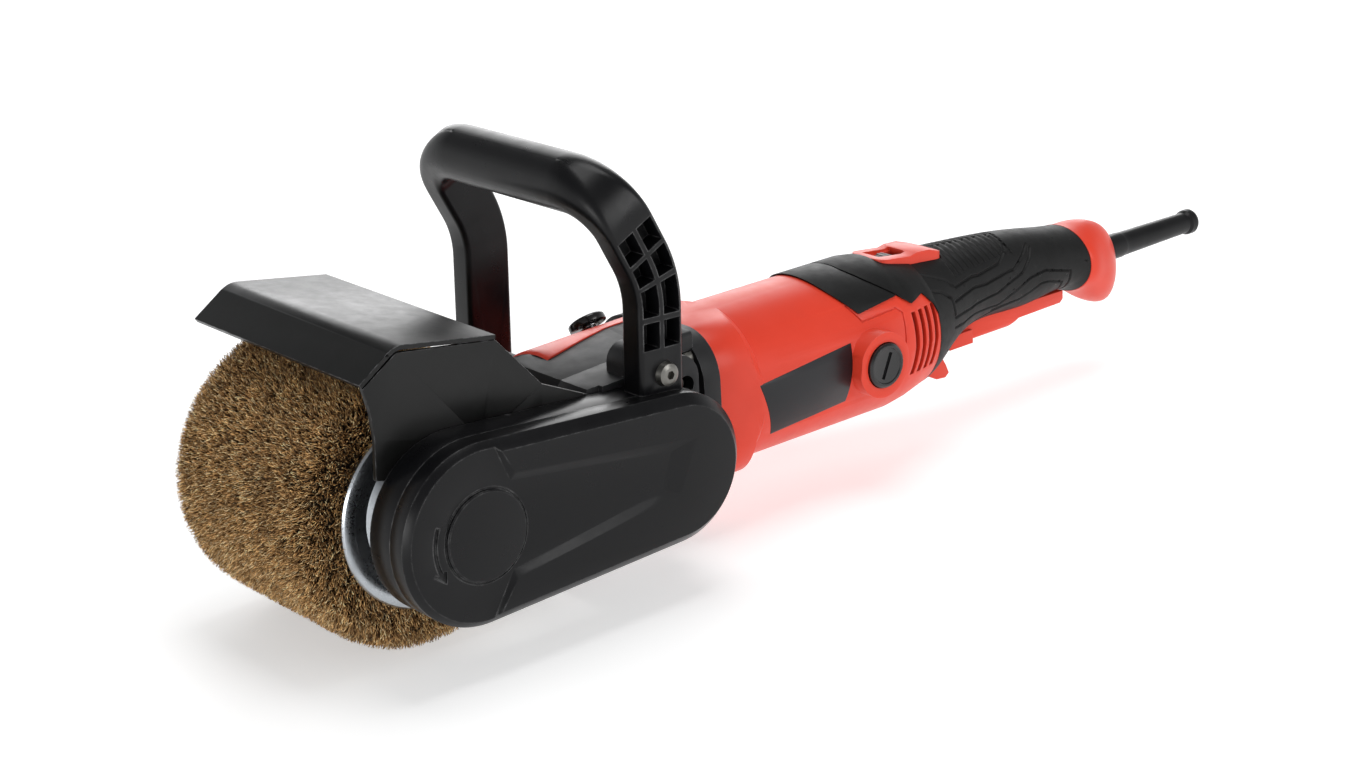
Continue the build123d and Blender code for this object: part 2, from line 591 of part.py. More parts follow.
# ---- belt case ----------------------------------------------------------------------------------
def case_outline(grow=0.0):
    front = Circle(CASE_R_FRONT + grow)
    rear = Pos(SPINDLE_Y, AXIS_Z) * Circle(CASE_R_REAR + grow)
    return make_hull(front.edges() + rear.edges())


def case_prism(grow, x0, x1):
    return prism_x(case_outline(grow), x0, x1)


CASE_SCREWS = [(-32.4, 0.0), (30.0, 31.8), (30.0, -32.4), (97.0, 26.6), (97.0, -30.6)]


def case_parts():
    inner = case_prism(0, CASE_X0, CASE_SPLIT) - case_prism(-CASE_WALL, CASE_X0 + 3.0, CASE_SPLIT + 1)
    inner += cyl_x(18.0, 55.6, 74.6)
    inner -= cyl_x(BEARING_R, 56.6, 75) + cyl_x(12.4, 55, 60) + cyl_x(18.1, 60, 76, SPINDLE)
    stiff = tube_x(25.5, 21.5, CASE_X0 + 2, CASE_X0 + 5) + tube_x(24.5, 20.5, CASE_X0 + 2, CASE_X0 + 5, SPINDLE)
    inner += stiff
    for spot in CASE_SCREWS:
        inner += cyl_x(3.2, CASE_X0 + 1, CASE_SPLIT, spot)
    for spot in GUARD_SCREWS:
        inner += cyl_x(3.6, CASE_X0 + 1, CASE_X0 + 6, spot)
    for spot in CASE_SCREWS:
        inner -= cyl_x(1.7, CASE_X0 - 1, CASE_SPLIT + 1, spot) + cyl_x(3.0, CASE_X0 - 1, CASE_X0 + 1.8, spot)
    for spot in GUARD_SCREWS:
        inner -= cyl_x(1.8, CASE_X0 - 1, CASE_X0 + 6, spot)
    keep("belt_housing", inner & case_prism(0, 50, CASE_SPLIT))
    keep("belt_cover", belt_cover())
    screws = [screw_x(y, z, CASE_X0 + 0.1, CASE_SPLIT + 7, 1.7, 2.9, 1.7) for y, z in CASE_SCREWS]
    sheet_face = GUARD_X1 - SHEET_T
    screws += [screw_x(y, z, sheet_face - 1.7, CASE_X0 + 5.5, 1.7, 2.9, 1.7) for y, z in GUARD_SCREWS]
    keep("belt_case_screws", *screws)
    belt = make_hull(
        Circle(DRUM_PULLEY_R + BELT_T).edges()
        + (Pos(SPINDLE_Y, AXIS_Z) * Circle(DRIVE_PULLEY_R + BELT_T)).edges())
    room = make_hull(
        Circle(DRUM_PULLEY_R).edges() + (Pos(SPINDLE_Y, AXIS_Z) * Circle(DRIVE_PULLEY_R)).edges())
    keep("drive_belt", prism_x(belt, BELT_X0, BELT_X1) - prism_x(room, BELT_X0 - 1, BELT_X1 + 1))


def belt_cover():
    """The outer cover: chamfered rim, a U-shaped border above a lower floor, and a boss on the floor."""
    cover = case_prism(0, CASE_SPLIT, CASE_X1)
    rim = cover.faces().sort_by(Axis.X)[-1].edges()
    cover = chamfer(rim, CASE_CHAMFER)
    cover -= case_prism(-CASE_WALL, CASE_SPLIT - 1, CASE_X1 - 6.2)
    cover -= case_prism(-CASE_WALL - 3.2, CASE_SPLIT - 1, COVER_INSIDE_X)
    floor_x = CASE_X1 - COVER_STEP
    cover -= loft([Plane.YZ.offset(CASE_X1 + 0.01) * side_polygon(FLOOR_TOP),
                   Plane.YZ.offset(floor_x) * side_polygon(FLOOR)], ruled=True)
    cover += turn_x([(floor_x - 1, 0), (floor_x - 1, BOSS_R), (floor_x + BOSS_H - 0.5, BOSS_R),
                     (floor_x + BOSS_H, BOSS_R - 0.6), (floor_x + BOSS_H, 0)])
    cover -= tube_x(BOSS_R + 0.9, BOSS_R - 0.01, floor_x - 0.5, floor_x + 1)
    arrow = trace(ThreePointArc(arrow_point(156), arrow_point(180), arrow_point(211)), 1.8)
    head = Polyline(arrow_point(200, 2.9), arrow_point(211), arrow_point(203, -1.9))
    cover -= prism_x(arrow + trace(head, 1.5), floor_x - 0.9, CASE_X1 + 1)
    for spot in CASE_SCREWS:
        cover += cyl_x(3.2, CASE_SPLIT, CASE_X1 - CASE_CHAMFER - 0.1, spot) & case_prism(-1.2, 70, CASE_X1)
    for spot in CASE_SCREWS:
        cover -= cyl_x(1.7, CASE_SPLIT - 1, CASE_SPLIT + 7, spot)
    return cover


def arrow_point(angle, outward=0.0):
    r = BOSS_R + 5.2 + outward
    return (r * math.cos(math.radians(angle)), r * math.sin(math.radians(angle)))


# the lower floor's outline where its walls meet the border, and at the foot of those walls
FLOOR_TOP = [(-60, -60), (-60, 60), (7.9, 60), (7.9, 34.1), (14.3, 22.6), (105.4, 10.8), (94.8, -11.2),
             (12.3, -20.8), (2.2, -34.0), (2.2, -60)]
FLOOR = [(-60, -60), (-60, 60), (7.0, 60), (7.0, 33.7), (13.0, 18.8), (91.8, 7.7), (86.6, -7.2),
         (11.4, -17.3), (1.2, -33.6), (1.2, -60)]


# ---- guard --------------------------------------------------------------------------------------
GUARD_SCREWS = [(18.0, 27.5), (46.0, 20.0)]


def guard_bend():
    """The underside of the guard sheet, rear to front, as a line in (y, z)."""
    return FilletPolyline((28.0, 66.0), (-17.5, 73.6), (-34.0, 62.6), radius=9.0)


def guard_parts():
    upper = guard_bend()
    lower = [edge for edge in offset(upper, amount=SHEET_T, side=Side.RIGHT, closed=True).edges()]
    sheet = prism_x(make_face(lower), GUARD_X0, GUARD_X1)
    plate = side_polygon([(28.0, 66.0), (48.5, 42.5), (76.0, 29.5), (70.0, 16.0), (30.0, 10.0),
                          (24.0, 22.0), (-18.0, 22.0), (-31.5, 25.0), (-30.4, 41.0), (-31.2, 52.0),
                          (-33.6, 62.3), (-17.5, 72.6)])
    side = prism_x(plate, GUARD_X1 - SHEET_T, GUARD_X1)
    shadow = block(40, 70, -60, 90, 0, 90) & prism_x(under_sheet(), 40, 70)
    side = side & shadow
    for spot in GUARD_SCREWS:
        side -= cyl_x(1.8, 55, 70, spot)
    keep("guard_sheet", sheet)
    keep("guard_side_plate", side)


def under_sheet():
    """Everything below the guard sheet's underside, as an outline in (y, z)."""
    rest = Polyline((-34.0, 62.6), (-34.0, 0), (90, 0), (90, 30), (28.0, 66.0))
    return make_face(guard_bend().edges() + rest.edges())


# ---- D-shaped front handle ----------------------------------------------------------------------
def handle_axes():
    """Unit vectors along the leaning part, towards the bar, and square to it, towards the rear."""
    dy, dz = BAR[0] - KINK[0], BAR[1] - KINK[1]
    length = math.hypot(dy, dz)
    return (dy / length, dz / length), (dz / length, -dy / length), length


def d_handle():
    lean, back, length = handle_axes()
    origin = Vector(MOTOR_X, BAR[0], BAR[1])
    up = Vector(0, lean[0], lean[1])
    out = Vector(1, 0, 0)
    reach = HANDLE_OUT - HANDLE_BEND_R
    drop = HANDLE_BEND_R - BAR_R
    centre = origin + out * reach - up * drop
    steps = 6

    def section(angle_deg):
        a = math.radians(angle_deg)
        ease = (1 - math.cos(2 * a)) / 2
        thick = 2 * BAR_R + (HANDLE_T - 2 * BAR_R) * ease
        deep = 2 * BAR_R + (HANDLE_D - 2 * BAR_R) * ease
        corner = BAR_R * 0.998 + (2.4 - BAR_R) * ease
        corner = min(corner, thick / 2 * 0.998)
        radial = out * math.sin(a) + up * math.cos(a)
        along = out * math.cos(a) - up * math.sin(a)
        plane = Plane(origin=centre + radial * (HANDLE_BEND_R - thick / 2), x_dir=radial, z_dir=along)
        return plane * RectangleRounded(thick, deep, corner)

    bend = loft([section(90.0 * i / steps) for i in range(steps + 1)])
    bar = extrude(section(0), amount=-2 * reach)
    top = origin + out * (HANDLE_OUT - HANDLE_T / 2) - up * drop

    def half(base_z):
        spine = arm_spine(top, base_z)
        arm = sweep(section(90), path=spine)
        return bend + (arm - arm_pockets(spine))

    near = half(HANDLE_BASE_Z) - case_prism(0.05, 60, 95) - cyl_x(3.1, 60, 90, BOLT_YZ)
    far = half(FAR_BASE_Z) - block(60, 90, 60, 120, -20, FAR_BASE_Z) - cyl_x(3.1, 60, 90, FAR_BOLT_YZ)
    return bar + near + mirror(far, about=Plane.YZ.offset(MOTOR_X))


def arm_spine(top, base_z):
    """The arm's centre line from the bar's bend down past its foot."""
    x = MOTOR_X + HANDLE_OUT - HANDLE_T / 2
    foot_y = KINK[0] - 2.4 * (KINK[1] - base_z + 3.0) / 51.0
    return FilletPolyline(tuple(top), (x, *KINK), (x, foot_y, base_z - 3.0), radius=ARM_BEND_R)


POCKET_ROWS = [(0.0, 11.6), (13.6, 24.0), (26.2, 39.6), (42.0, 53.2)]
POCKET_COLUMNS = [(-9.3, -1.1), (1.1, 9.3)]


def arm_pockets(spine):
    """Two columns of four moulded pockets in the arm's outer face, curved along its centre line."""
    face = MOTOR_X + HANDLE_OUT
    depth = 8.5
    steps = 5
    cuts = None
    for low, high in POCKET_COLUMNS:
        for s0, s1 in POCKET_ROWS:
            sides = ([], [])
            for i in range(steps + 1):
                share = (s0 + (s1 - s0) * i / steps) / spine.length
                spot = spine.position_at(share)
                along = spine.tangent_at(share)
                for w, side in zip((low, high), sides):
                    side.append((spot.Y - along.Z * w, spot.Z + along.Y * w))
            pocket = prism_x(side_polygon(sides[0] + sides[1][::-1]), face - depth, face + 1)
            cuts = pocket if cuts is None else cuts + pocket
    return cuts


def handle_parts():
    keep("d_handle", d_handle())
    y, z = BOLT_YZ
    face = MOTOR_X + HANDLE_OUT
    near = screw_x(y, z, face + 3.3, 55.0, 3.0, 5.3, 3.3)
    y, z = FAR_BOLT_YZ
    far = screw_x(y, z, face + 3.3, 55.0, 3.0, 5.3, 3.3)
    keep("handle_bolts", near, mirror(far, about=Plane.YZ.offset(MOTOR_X)))


# ---- rear grip ----------------------------------------------------------------------------------
# station along Y: height of the top, height of the bottom and half the width
GRIP = [
    (286.0, 30.0, -33.6, 31.8),
    (300.0, 29.2, -27.0, 27.6),
    (318.0, 28.0, -16.5, 23.2),
    (343.0, 26.2, -13.4, 21.0),
    (370.0, 22.9, -13.6, 20.3),
    (401.0, 17.9, -15.0, 20.3),
]


def grip_body(shrink, stations=GRIP):
    """The grip's outer form, pulled in by shrink all round."""
    rings = []
    for y, top, bottom, half in stations:
        plane = Plane(origin=(MOTOR_X, y, (top + bottom) / 2), x_dir=(1, 0, 0), z_dir=(0, 1, 0))
        rings.append(plane * Ellipse(half - shrink, (top - bottom) / 2 - shrink))
    return loft(rings)


TRIGGER_PIVOT = (323.0, -18.6)
TRIGGER_Y1 = 393.0
TRIGGER_HALF = 9.2
DIAL_X0, DIAL_X1, DIAL_Y0, DIAL_Y1 = 6.0, 28.0, 268.0, 309.0


def trigger_slot():
    half = TRIGGER_HALF + 0.5
    return block(MOTOR_X - half, MOTOR_X + half, 312, TRIGGER_Y1 + 0.6, -60, -6.0)


def dial_opening():
    outline = Pos((DIAL_X0 + DIAL_X1) / 2, (DIAL_Y0 + DIAL_Y1) / 2) * RectangleRounded(
        DIAL_X1 - DIAL_X0, DIAL_Y1 - DIAL_Y0, 5.0)
    return extrude(Pos(0, 0, 10) * outline, amount=30)


GRIP_SCREWS = [(334.0, 18.6), (384.0, 9.0)]


def grip_parts():
    outer, middle, inner = grip_body(0), grip_body(GRIP_T), grip_body(GRIP_T + SHELL_T)
    rubber = outer - middle - trigger_slot() - dial_opening() - hook_room()
    shell = middle - inner - trigger_slot() - dial_opening() - hook_room()
    joint = tube_y(40, 2, 283, 289.0)
    shell = shell - (joint & block(-60, 90, 280, 286.02, -60, 60))
    left = block(-60, MOTOR_X, 280, 410, -60, 60)
    right = block(MOTOR_X, 90, 280, 410, -60, 60)
    for spot in GRIP_SCREWS:
        shell += cyl_x(3.4, MOTOR_X - 30, MOTOR_X + 30, spot) & middle
        shell -= cyl_x(1.6, MOTOR_X - 30, MOTOR_X + 13, spot) + cyl_x(3.0, -30, MOTOR_X - 12, spot)
        rubber -= cyl_x(3.0, -30, MOTOR_X - 12, spot)
    keep("grip_overmold_left", largest(rubber & left))
    keep("grip_overmold_right", largest(rubber & right))
    keep("handle_shell_left", largest(shell & left))
    keep("handle_shell_right", largest(shell & right))
    pad = tube_y(MOTOR_R + 0.9, MOTOR_R + 0.02, 222, MOTOR_TAPER_Y)
    pad += turn_y([(MOTOR_TAPER_Y, MOTOR_R + 0.02), (MOTOR_TAPER_Y, MOTOR_R + 0.9),
                   (MOTOR_TAPER_Y + 10, MOTOR_R - 0.5), (MOTOR_Y1, MOTOR_REAR_R + 0.8),
                   (MOTOR_Y1, MOTOR_REAR_R + 0.02), (MOTOR_TAPER_Y + 10, MOTOR_R - 1.28)])
    mask = side_polygon([(223, 60), (224, 36), (228, 30), (237, 20), (262, 22.2), (269, 17.2),
                         (279, 19.0), (284.2, 13.0), (286, 8.0), (290, 8.0), (290, 60)])
    pad = (pad & prism_x(mask, -40, 72)) - dial_opening()
    seam = trace(Polyline((244, 60), (246, 34), (251, 30), (262, 22.3), (266, 18)), 0.8)
    skin = tube_y(50, MOTOR_R + 0.35, 222, MOTOR_Y1)
    pad -= prism_x(seam, -40, 72) & skin
    keep("housing_top_pad", largest(pad))


def largest(shape):
    """The biggest solid of a shape that a cut may have left with crumbs."""
    return max(shape.solids(), key=lambda solid: solid.volume)


# ---- finger hook, trigger and dial --------------------------------------------------------------
HOOK = [(297.4, -20.0), (297.4, -27.0), (300.3, -31.2), (305.8, -34.4), (311.6, -34.9), (314.0, -33.0),
        (312.2, -28.8), (309.8, -24.8), (311.0, -20.6), (314.0, -14.4), (297.4, -14.4)]


def hook_room():
    return block(MOTOR_X - 11.8, MOTOR_X + 11.8, 296, 327.6, -60, -14.2)


def hook_parts():
    hook = prism_x(side_polygon(HOOK), MOTOR_X - 8.5, MOTOR_X + 8.5)
    ears = []
    for side in (-1, 1):
        x0, x1 = sorted((MOTOR_X + side * 9.6, MOTOR_X + side * 11.6))
        ears.append(block(x0, x1, 312.0, 327.4, -21.0, -14.4))
    bridge = block(MOTOR_X - 11.6, MOTOR_X + 11.6, 306, 314.0, -20.0, -14.4)
    hook = hook + bridge + ears[0] + ears[1]
    hook -= cyl_x(1.5, MOTOR_X - 10.8, MOTOR_X + 10.8, TRIGGER_PIVOT)
    keep("finger_hook", hook)
    keep("trigger_pin", cyl_x(1.5, MOTOR_X - 10.8, MOTOR_X + 10.8, TRIGGER_PIVOT))
    low = [(320.2, -15.8), (321.0, -19.8), (323.0, -21.2), (354.6, -20.9), (361.6, -17.7), (391.0, -17.3),
           (TRIGGER_Y1, -15.6), (TRIGGER_Y1, -11.6), (324.0, -10.8)]
    section = Pos(MOTOR_X, -4.0) * RectangleRounded(2 * TRIGGER_HALF, 34.4, 3.2)
    trigger = prism_x(side_polygon(low), MOTOR_X - TRIGGER_HALF, MOTOR_X + TRIGGER_HALF)
    trigger = trigger & prism_y(section, 318, 400)
    hollow = block(MOTOR_X - 7, MOTOR_X + 7, 330, 389, -15.4, -5)
    trigger = trigger - hollow - cyl_x(1.5 + RUN, -10, 60, TRIGGER_PIVOT)
    keep("trigger", trigger)
    spring = Pos(MOTOR_X, 350, -14.8) * coil(3.2, 0.4, 12.3, 5)
    keep("trigger_spring", spring)


DIAL_AXIS = (282.0, 24.6)


def dial_parts():
    keep("speed_dial_bezel", dial_frame())
    wheel = cyl_x(6.6, 12.2, 19.8, DIAL_AXIS)
    notches = 20
    for i in range(notches):
        a = math.radians(360 * i / notches)
        y = DIAL_AXIS[0] + 6.7 * math.cos(a)
        z = DIAL_AXIS[1] + 6.7 * math.sin(a)
        wheel -= cyl_x(0.55, 12, 20, (y, z))
    wheel -= cyl_x(1.5 + RUN, 12, 20, DIAL_AXIS)
    keep("speed_dial", wheel)


# the bezel's upper surface, as (y, z) points from front to rear
DIAL_TOP = [(268.3, 33.6), (287.0, 31.4), (291.0, 32.2), (299.0, 31.8), (308.6, 28.6)]


def dial_frame():
    """The framed window over the speed dial, with two cheeks and a pin that carry it."""
    outline = Pos((DIAL_X0 + DIAL_X1) / 2, (DIAL_Y0 + DIAL_Y1) / 2) * RectangleRounded(
        DIAL_X1 - DIAL_X0 - 0.6, DIAL_Y1 - DIAL_Y0 - 0.6, 4.7)
    plug = extrude(Pos(0, 0, 16) * outline, amount=20)
    under = DIAL_TOP + [(310, 29), (310, 16), (265, 16), (265, 33.6)]
    plug = plug & prism_x(side_polygon(under), 0, 32) & cyl_y(37.4, 260, 320)
    plug -= block(DIAL_X0 + 2, DIAL_X1 - 2, DIAL_Y0 + 2, DIAL_Y1 - 2, 10, 27.5)
    plug -= block(11.6, 20.4, 274.0, 290.0, 10, 40)
    cheeks = block(9.6, 11.6, 277.5, 286.5, 20, 28.5) + block(20.4, 22.4, 277.5, 286.5, 20, 28.5)
    plug = plug + cheeks + cyl_x(1.5, 10, 22, DIAL_AXIS)
    return plug - block(10.4, 21.6, 273.0, 289.6, 30.2, 40)


# ---- rear cap and cable sleeve ------------------------------------------------------------------
# the cap's stations, in the order of the grip's
CAP = [
    (401.2, 18.0, -15.2, 20.6),
    (411.0, 17.8, -20.2, 20.1),
    (419.0, 16.8, -24.8, 18.0),
    (425.5, 14.4, -27.0, 14.8),
    (430.0, 11.0, -27.2, 11.2),
    (433.2, 6.2, -25.6, 7.9),
    (434.6, 1.0, -22.6, 5.2),
]
CAP_T = 2.4
SLEEVE_Z = AXIS_Z


def cap_parts():
    room = grip_body(CAP_T, CAP) & block(-60, 90, 395, CAP_Y1 - CAP_T, -60, 60)
    cap = grip_body(0, CAP) - room
    cap -= prism_y(Pos(MOTOR_X, (17.9 - 15.0) / 2) * Ellipse(17.6, 13.6), 398, 404)
    cap -= cyl_y(6.4, 405, 445, MOTOR_X, SLEEVE_Z)
    keep("rear_cap", largest(cap))
    keep("cable_sleeve", cable_sleeve())
    keep("cable_clamp", cable_clamp())


def cable_sleeve():
    """A tapered rubber sleeve with a collar inside the cap and a beaded end."""
    profile = [(423.5, CABLE_R), (423.5, 7.5), (427.0, 7.5), (427.0, 6.3), (444.0, 6.3), (446.0, 6.0),
               (SLEEVE_Y1 - 6.0, 5.3), (SLEEVE_Y1 - 4.6, 6.3), (SLEEVE_Y1 - 1.2, 6.4), (SLEEVE_Y1, 5.7),
               (SLEEVE_Y1, CABLE_R)]
    face = polygon([(0, y, r) for y, r in profile])
    return Pos(MOTOR_X, 0, SLEEVE_Z) * revolve(face, axis=Axis.Y)


def cable_clamp():
    """A strap with two screw holes that pinches the cable inside the grip."""
    strap = block(MOTOR_X - 11, MOTOR_X + 11, 408, 416, SLEEVE_Z - 8, SLEEVE_Z - 4.2)
    strap -= cyl_y(CABLE_R, 400, 420, MOTOR_X, SLEEVE_Z)
    for side in (-1, 1):
        strap -= cyl_z(1.6, -20, 10, MOTOR_X + side * 8, 412)
    return strap


def inner_parts():
    body = block(MOTOR_X - 9, MOTOR_X + 9, 338, 372, -2.0, 15.0)
    body += block(MOTOR_X - 3, MOTOR_X + 3, 362, 366, -11.4, -1.9)
    keep("switch_module", body)
    board = block(MOTOR_X - 12, MOTOR_X + 12, 292, 330, 6.0, 7.6)
    for x, y, r, h in ((-6, 300, 4.0, 8), (5, 302, 3.2, 6), (-4, 316, 3.6, 7), (6, 318, 2.6, 5)):
        board += cyl_z(r, 7.5, 7.6 + h, MOTOR_X + x, y)
    keep("speed_module", board)
    screws = []
    for side in (-1, 1):
        screws.append(Pos(MOTOR_X + side * 8, 412, SLEEVE_Z - 8.0) * self_tapping_screw())
    for y, z in GRIP_SCREWS:
        screws.append(Pos(MOTOR_X - 12.0, y, z) * Rot(0, 90, 0) * self_tapping_screw())
    keep("grip_screws", *screws)


def self_tapping_screw():
    """A slotted screw pointing up +Z, its head under the origin."""
    head = cyl_z(2.8, -2.0, 0, 0, 0)
    slot = block(-0.4, 0.4, -3, 3, -2.1, -1.1)
    return head + cyl_z(1.6, 0, 12, 0, 0) - slot


# ---- build --------------------------------------------------------------------------------------
def build():
    drum_parts()
    output_parts()
    armature_parts()
    stator_parts()
    motor_case_parts()
    head_parts()
    lock_parts()
    gear_shroud()
    case_parts()
    guard_parts()
    handle_parts()
    grip_parts()
    hook_parts()
    dial_parts()
    cap_parts()
    inner_parts()
    os.makedirs("parts", exist_ok=True)
    for name, solids in PARTS.items():
        export_step(Compound(children=[ROW * solid for solid in solids]), f"parts/{name}.step")
    print(len(PARTS), "sub-parts")


build()
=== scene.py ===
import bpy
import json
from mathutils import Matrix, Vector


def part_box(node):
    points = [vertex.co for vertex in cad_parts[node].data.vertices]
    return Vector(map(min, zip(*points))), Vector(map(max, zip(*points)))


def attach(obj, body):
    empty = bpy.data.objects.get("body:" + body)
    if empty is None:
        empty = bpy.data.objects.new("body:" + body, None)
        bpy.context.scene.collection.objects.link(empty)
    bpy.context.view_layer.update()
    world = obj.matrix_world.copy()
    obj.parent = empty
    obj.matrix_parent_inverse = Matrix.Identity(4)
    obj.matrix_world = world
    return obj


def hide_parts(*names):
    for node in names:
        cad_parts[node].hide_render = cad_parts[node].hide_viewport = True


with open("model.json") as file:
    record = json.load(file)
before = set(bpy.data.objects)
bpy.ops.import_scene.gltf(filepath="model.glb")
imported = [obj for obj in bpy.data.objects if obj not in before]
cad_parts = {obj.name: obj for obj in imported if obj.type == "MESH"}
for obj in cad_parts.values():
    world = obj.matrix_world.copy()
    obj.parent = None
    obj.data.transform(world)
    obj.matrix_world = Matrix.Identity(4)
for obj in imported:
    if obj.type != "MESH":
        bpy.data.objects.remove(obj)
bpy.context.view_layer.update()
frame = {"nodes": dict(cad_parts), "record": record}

import json
import math

import bmesh
import bpy
import numpy as np
from mathutils import Matrix, Vector

# Looks of the drum burnishing machine: materials for the CAD nodes, the wire drum's strands, the
# ribbed rubber grip, the light, the floor and the camera. Lengths are in metres.

MM = 0.001
NODES = frame["nodes"]
# The sockets of a Map Range node, in the order in which the numbers are given.
RANGE_SOCKETS = ("From Min", "From Max", "To Min", "To Max")


def middle(node):
    low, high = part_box(node)
    return (low + high) / 2


DRUM_LOW, DRUM_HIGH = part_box("bristle_pack")
DRUM = (DRUM_LOW + DRUM_HIGH) / 2
DRUM_R = (DRUM_HIGH.z - DRUM_LOW.z) / 2
DRUM_HALF = (DRUM_HIGH.x - DRUM_LOW.x) / 2
MOTOR = middle("armature_shaft")


# ---- material building ---------------------------------------------------------------------------
class Look:
    """A node material on one Principled shader, built up by short calls."""

    def __init__(self, name, colour, rough, metal=0.0, specular=0.5):
        self.material = bpy.data.materials.new(name)
        self.material.use_nodes = True
        self.tree = self.material.node_tree
        self.shader = self.tree.nodes["Principled BSDF"]
        self.set("Base Color", (*colour, 1))
        self.set("Roughness", rough)
        self.set("Metallic", metal)
        self.set("Specular IOR Level", specular)
        self.place = self.node("ShaderNodeTexCoord").outputs["Object"]

    def set(self, socket, value):
        self.shader.inputs[socket].default_value = value

    def node(self, kind, **values):
        made = self.tree.nodes.new(kind)
        for key, value in values.items():
            setattr(made, key, value)
        return made

    def link(self, value, socket):
        if isinstance(value, bpy.types.NodeSocket):
            self.tree.links.new(value, socket)
        else:
            socket.default_value = value

    def noise(self, scale, detail=3.0, rough=0.5, at=None):
        made = self.node("ShaderNodeTexNoise")
        self.link(self.place if at is None else at, made.inputs["Vector"])
        made.inputs["Scale"].default_value = scale
        made.inputs["Detail"].default_value = detail
        made.inputs["Roughness"].default_value = rough
        return made.outputs["Fac"]

    def cells(self, scale, at=None):
        made = self.node("ShaderNodeTexVoronoi")
        self.link(self.place if at is None else at, made.inputs["Vector"])
        made.inputs["Scale"].default_value = scale
        return made.outputs["Distance"]

    def stretched(self, x, y, z):
        """The place, with each axis scaled, for grain that runs along one direction."""
        made = self.node("ShaderNodeMapping")
        self.link(self.place, made.inputs["Vector"])
        made.inputs["Scale"].default_value = (x, y, z)
        return made.outputs["Vector"]

    def math(self, operation, a, b=0.0):
        made = self.node("ShaderNodeMath", operation=operation)
        self.link(a, made.inputs[0])
        self.link(b, made.inputs[1])
        return made.outputs[0]

    def spread(self, value, low, high, to_low, to_high):
        made = self.node("ShaderNodeMapRange")
        self.link(value, made.inputs["Value"])
        for socket, number in zip(RANGE_SOCKETS, (low, high, to_low, to_high)):
            made.inputs[socket].default_value = number
        return made.outputs["Result"]

    def blend(self, factor, a, b):
        made = self.node("ShaderNodeMix", data_type="RGBA")
        self.link(factor, made.inputs["Factor"])
        self.link(a, made.inputs["A"])
        self.link(b, made.inputs["B"])
        return made.outputs["Result"]

    def edges(self, radius):
        """About 1 along the edges and 0 on flat stretches."""
        round_off = self.node("ShaderNodeBevel", samples=4)
        round_off.inputs["Radius"].default_value = radius
        flat = self.node("ShaderNodeNewGeometry").outputs["Normal"]
        dot = self.node("ShaderNodeVectorMath", operation="DOT_PRODUCT")
        self.link(round_off.outputs["Normal"], dot.inputs[0])
        self.link(flat, dot.inputs[1])
        return self.spread(dot.outputs["Value"], 0.99, 0.90, 0.0, 1.0)

    def attribute(self, name):
        return self.node("ShaderNodeAttribute", attribute_name=name).outputs["Fac"]

    def colour(self, value):
        self.link(value, self.shader.inputs["Base Color"])

    def rough(self, value):
        self.link(value, self.shader.inputs["Roughness"])

    def bump(self, height, depth, strength=1.0):
        """Bumps of the given depth in metres, on top of any made before."""
        made = self.node("ShaderNodeBump")
        made.inputs["Distance"].default_value = depth
        made.inputs["Strength"].default_value = strength
        self.link(height, made.inputs["Height"])
        before = self.shader.inputs["Normal"]
        if before.is_linked:
            self.link(before.links[0].from_socket, made.inputs["Normal"])
        self.link(made.outputs["Normal"], before)


def rgba(colour, scale=1.0):
    return (*[c * scale for c in colour], 1.0)


def moulded(name, colour, rough, grain, depth, wear_and_highlight=0.0, uneven=0.06, specular=0.5):
    """Moulded plastic: a fine eroded grain, slow changes in gloss and tone, and edges lightened in patches,
    partly rubbed from use and partly as a painted highlight.
    """
    look = Look(name, colour, rough, specular=specular)
    slow = look.noise(28.0, 4.0, 0.6)
    tone = look.spread(slow, 0.3, 0.7, 1.0 - uneven, 1.0 + uneven)
    mixed = look.blend(tone, rgba(colour, 0.0), rgba(colour))
    mixed.node.clamp_factor = False
    smear = look.noise(90.0, 5.0, 0.65)
    roughness = look.spread(smear, 0.3, 0.7, rough - 0.05, rough + 0.06)
    # Edge lightening: partly rubbed from use, partly a painted highlight standing in for the bright lines
    # that light draws along edges.
    if wear_and_highlight > 0:
        patchy = look.spread(look.noise(260.0, 4.0), 0.4, 0.65, 0.2, 1.0)
        edge_wear_and_highlight = look.math("MULTIPLY", look.edges(0.9 * MM), patchy)
        mixed = look.blend(look.math("MULTIPLY", edge_wear_and_highlight, wear_and_highlight), mixed, rgba([0.25 + 0.6 * c for c in colour]))
        roughness = look.math("ADD", roughness, look.math("MULTIPLY", edge_wear_and_highlight, 0.08))
    look.colour(mixed)
    look.rough(roughness)
    look.bump(look.noise(grain, 2.0), depth)
    return look


def painted(name, colour, rough, wear_and_highlight=0.0, specular=0.5):
    """Powder coat or paint on metal: orange peel, and thin edges lightened in patches towards grey, partly
    worn paint and partly a painted highlight.
    """
    look = Look(name, colour, rough, specular=specular)
    slow = look.noise(22.0, 4.0)
    mixed = look.blend(slow, rgba(colour, 0.86), rgba(colour, 1.16))
    # Edge lightening towards grey: partly worn paint, partly a painted highlight along the edges.
    if wear_and_highlight > 0:
        patchy = look.spread(look.noise(320.0, 5.0), 0.45, 0.6, 0.0, 1.0)
        edge_wear_and_highlight = look.math("MULTIPLY", look.edges(0.4 * MM), patchy)
        mixed = look.blend(look.math("MULTIPLY", edge_wear_and_highlight, wear_and_highlight), mixed, (0.30, 0.30, 0.31, 1))
    look.colour(mixed)
    look.rough(look.spread(look.noise(140.0, 4.0, 0.6), 0.3, 0.7, rough - 0.04, rough + 0.05))
    look.bump(look.noise(620.0, 2.0), 0.005 * MM)
    look.bump(look.noise(3200.0, 1.0), 0.002 * MM)
    return look


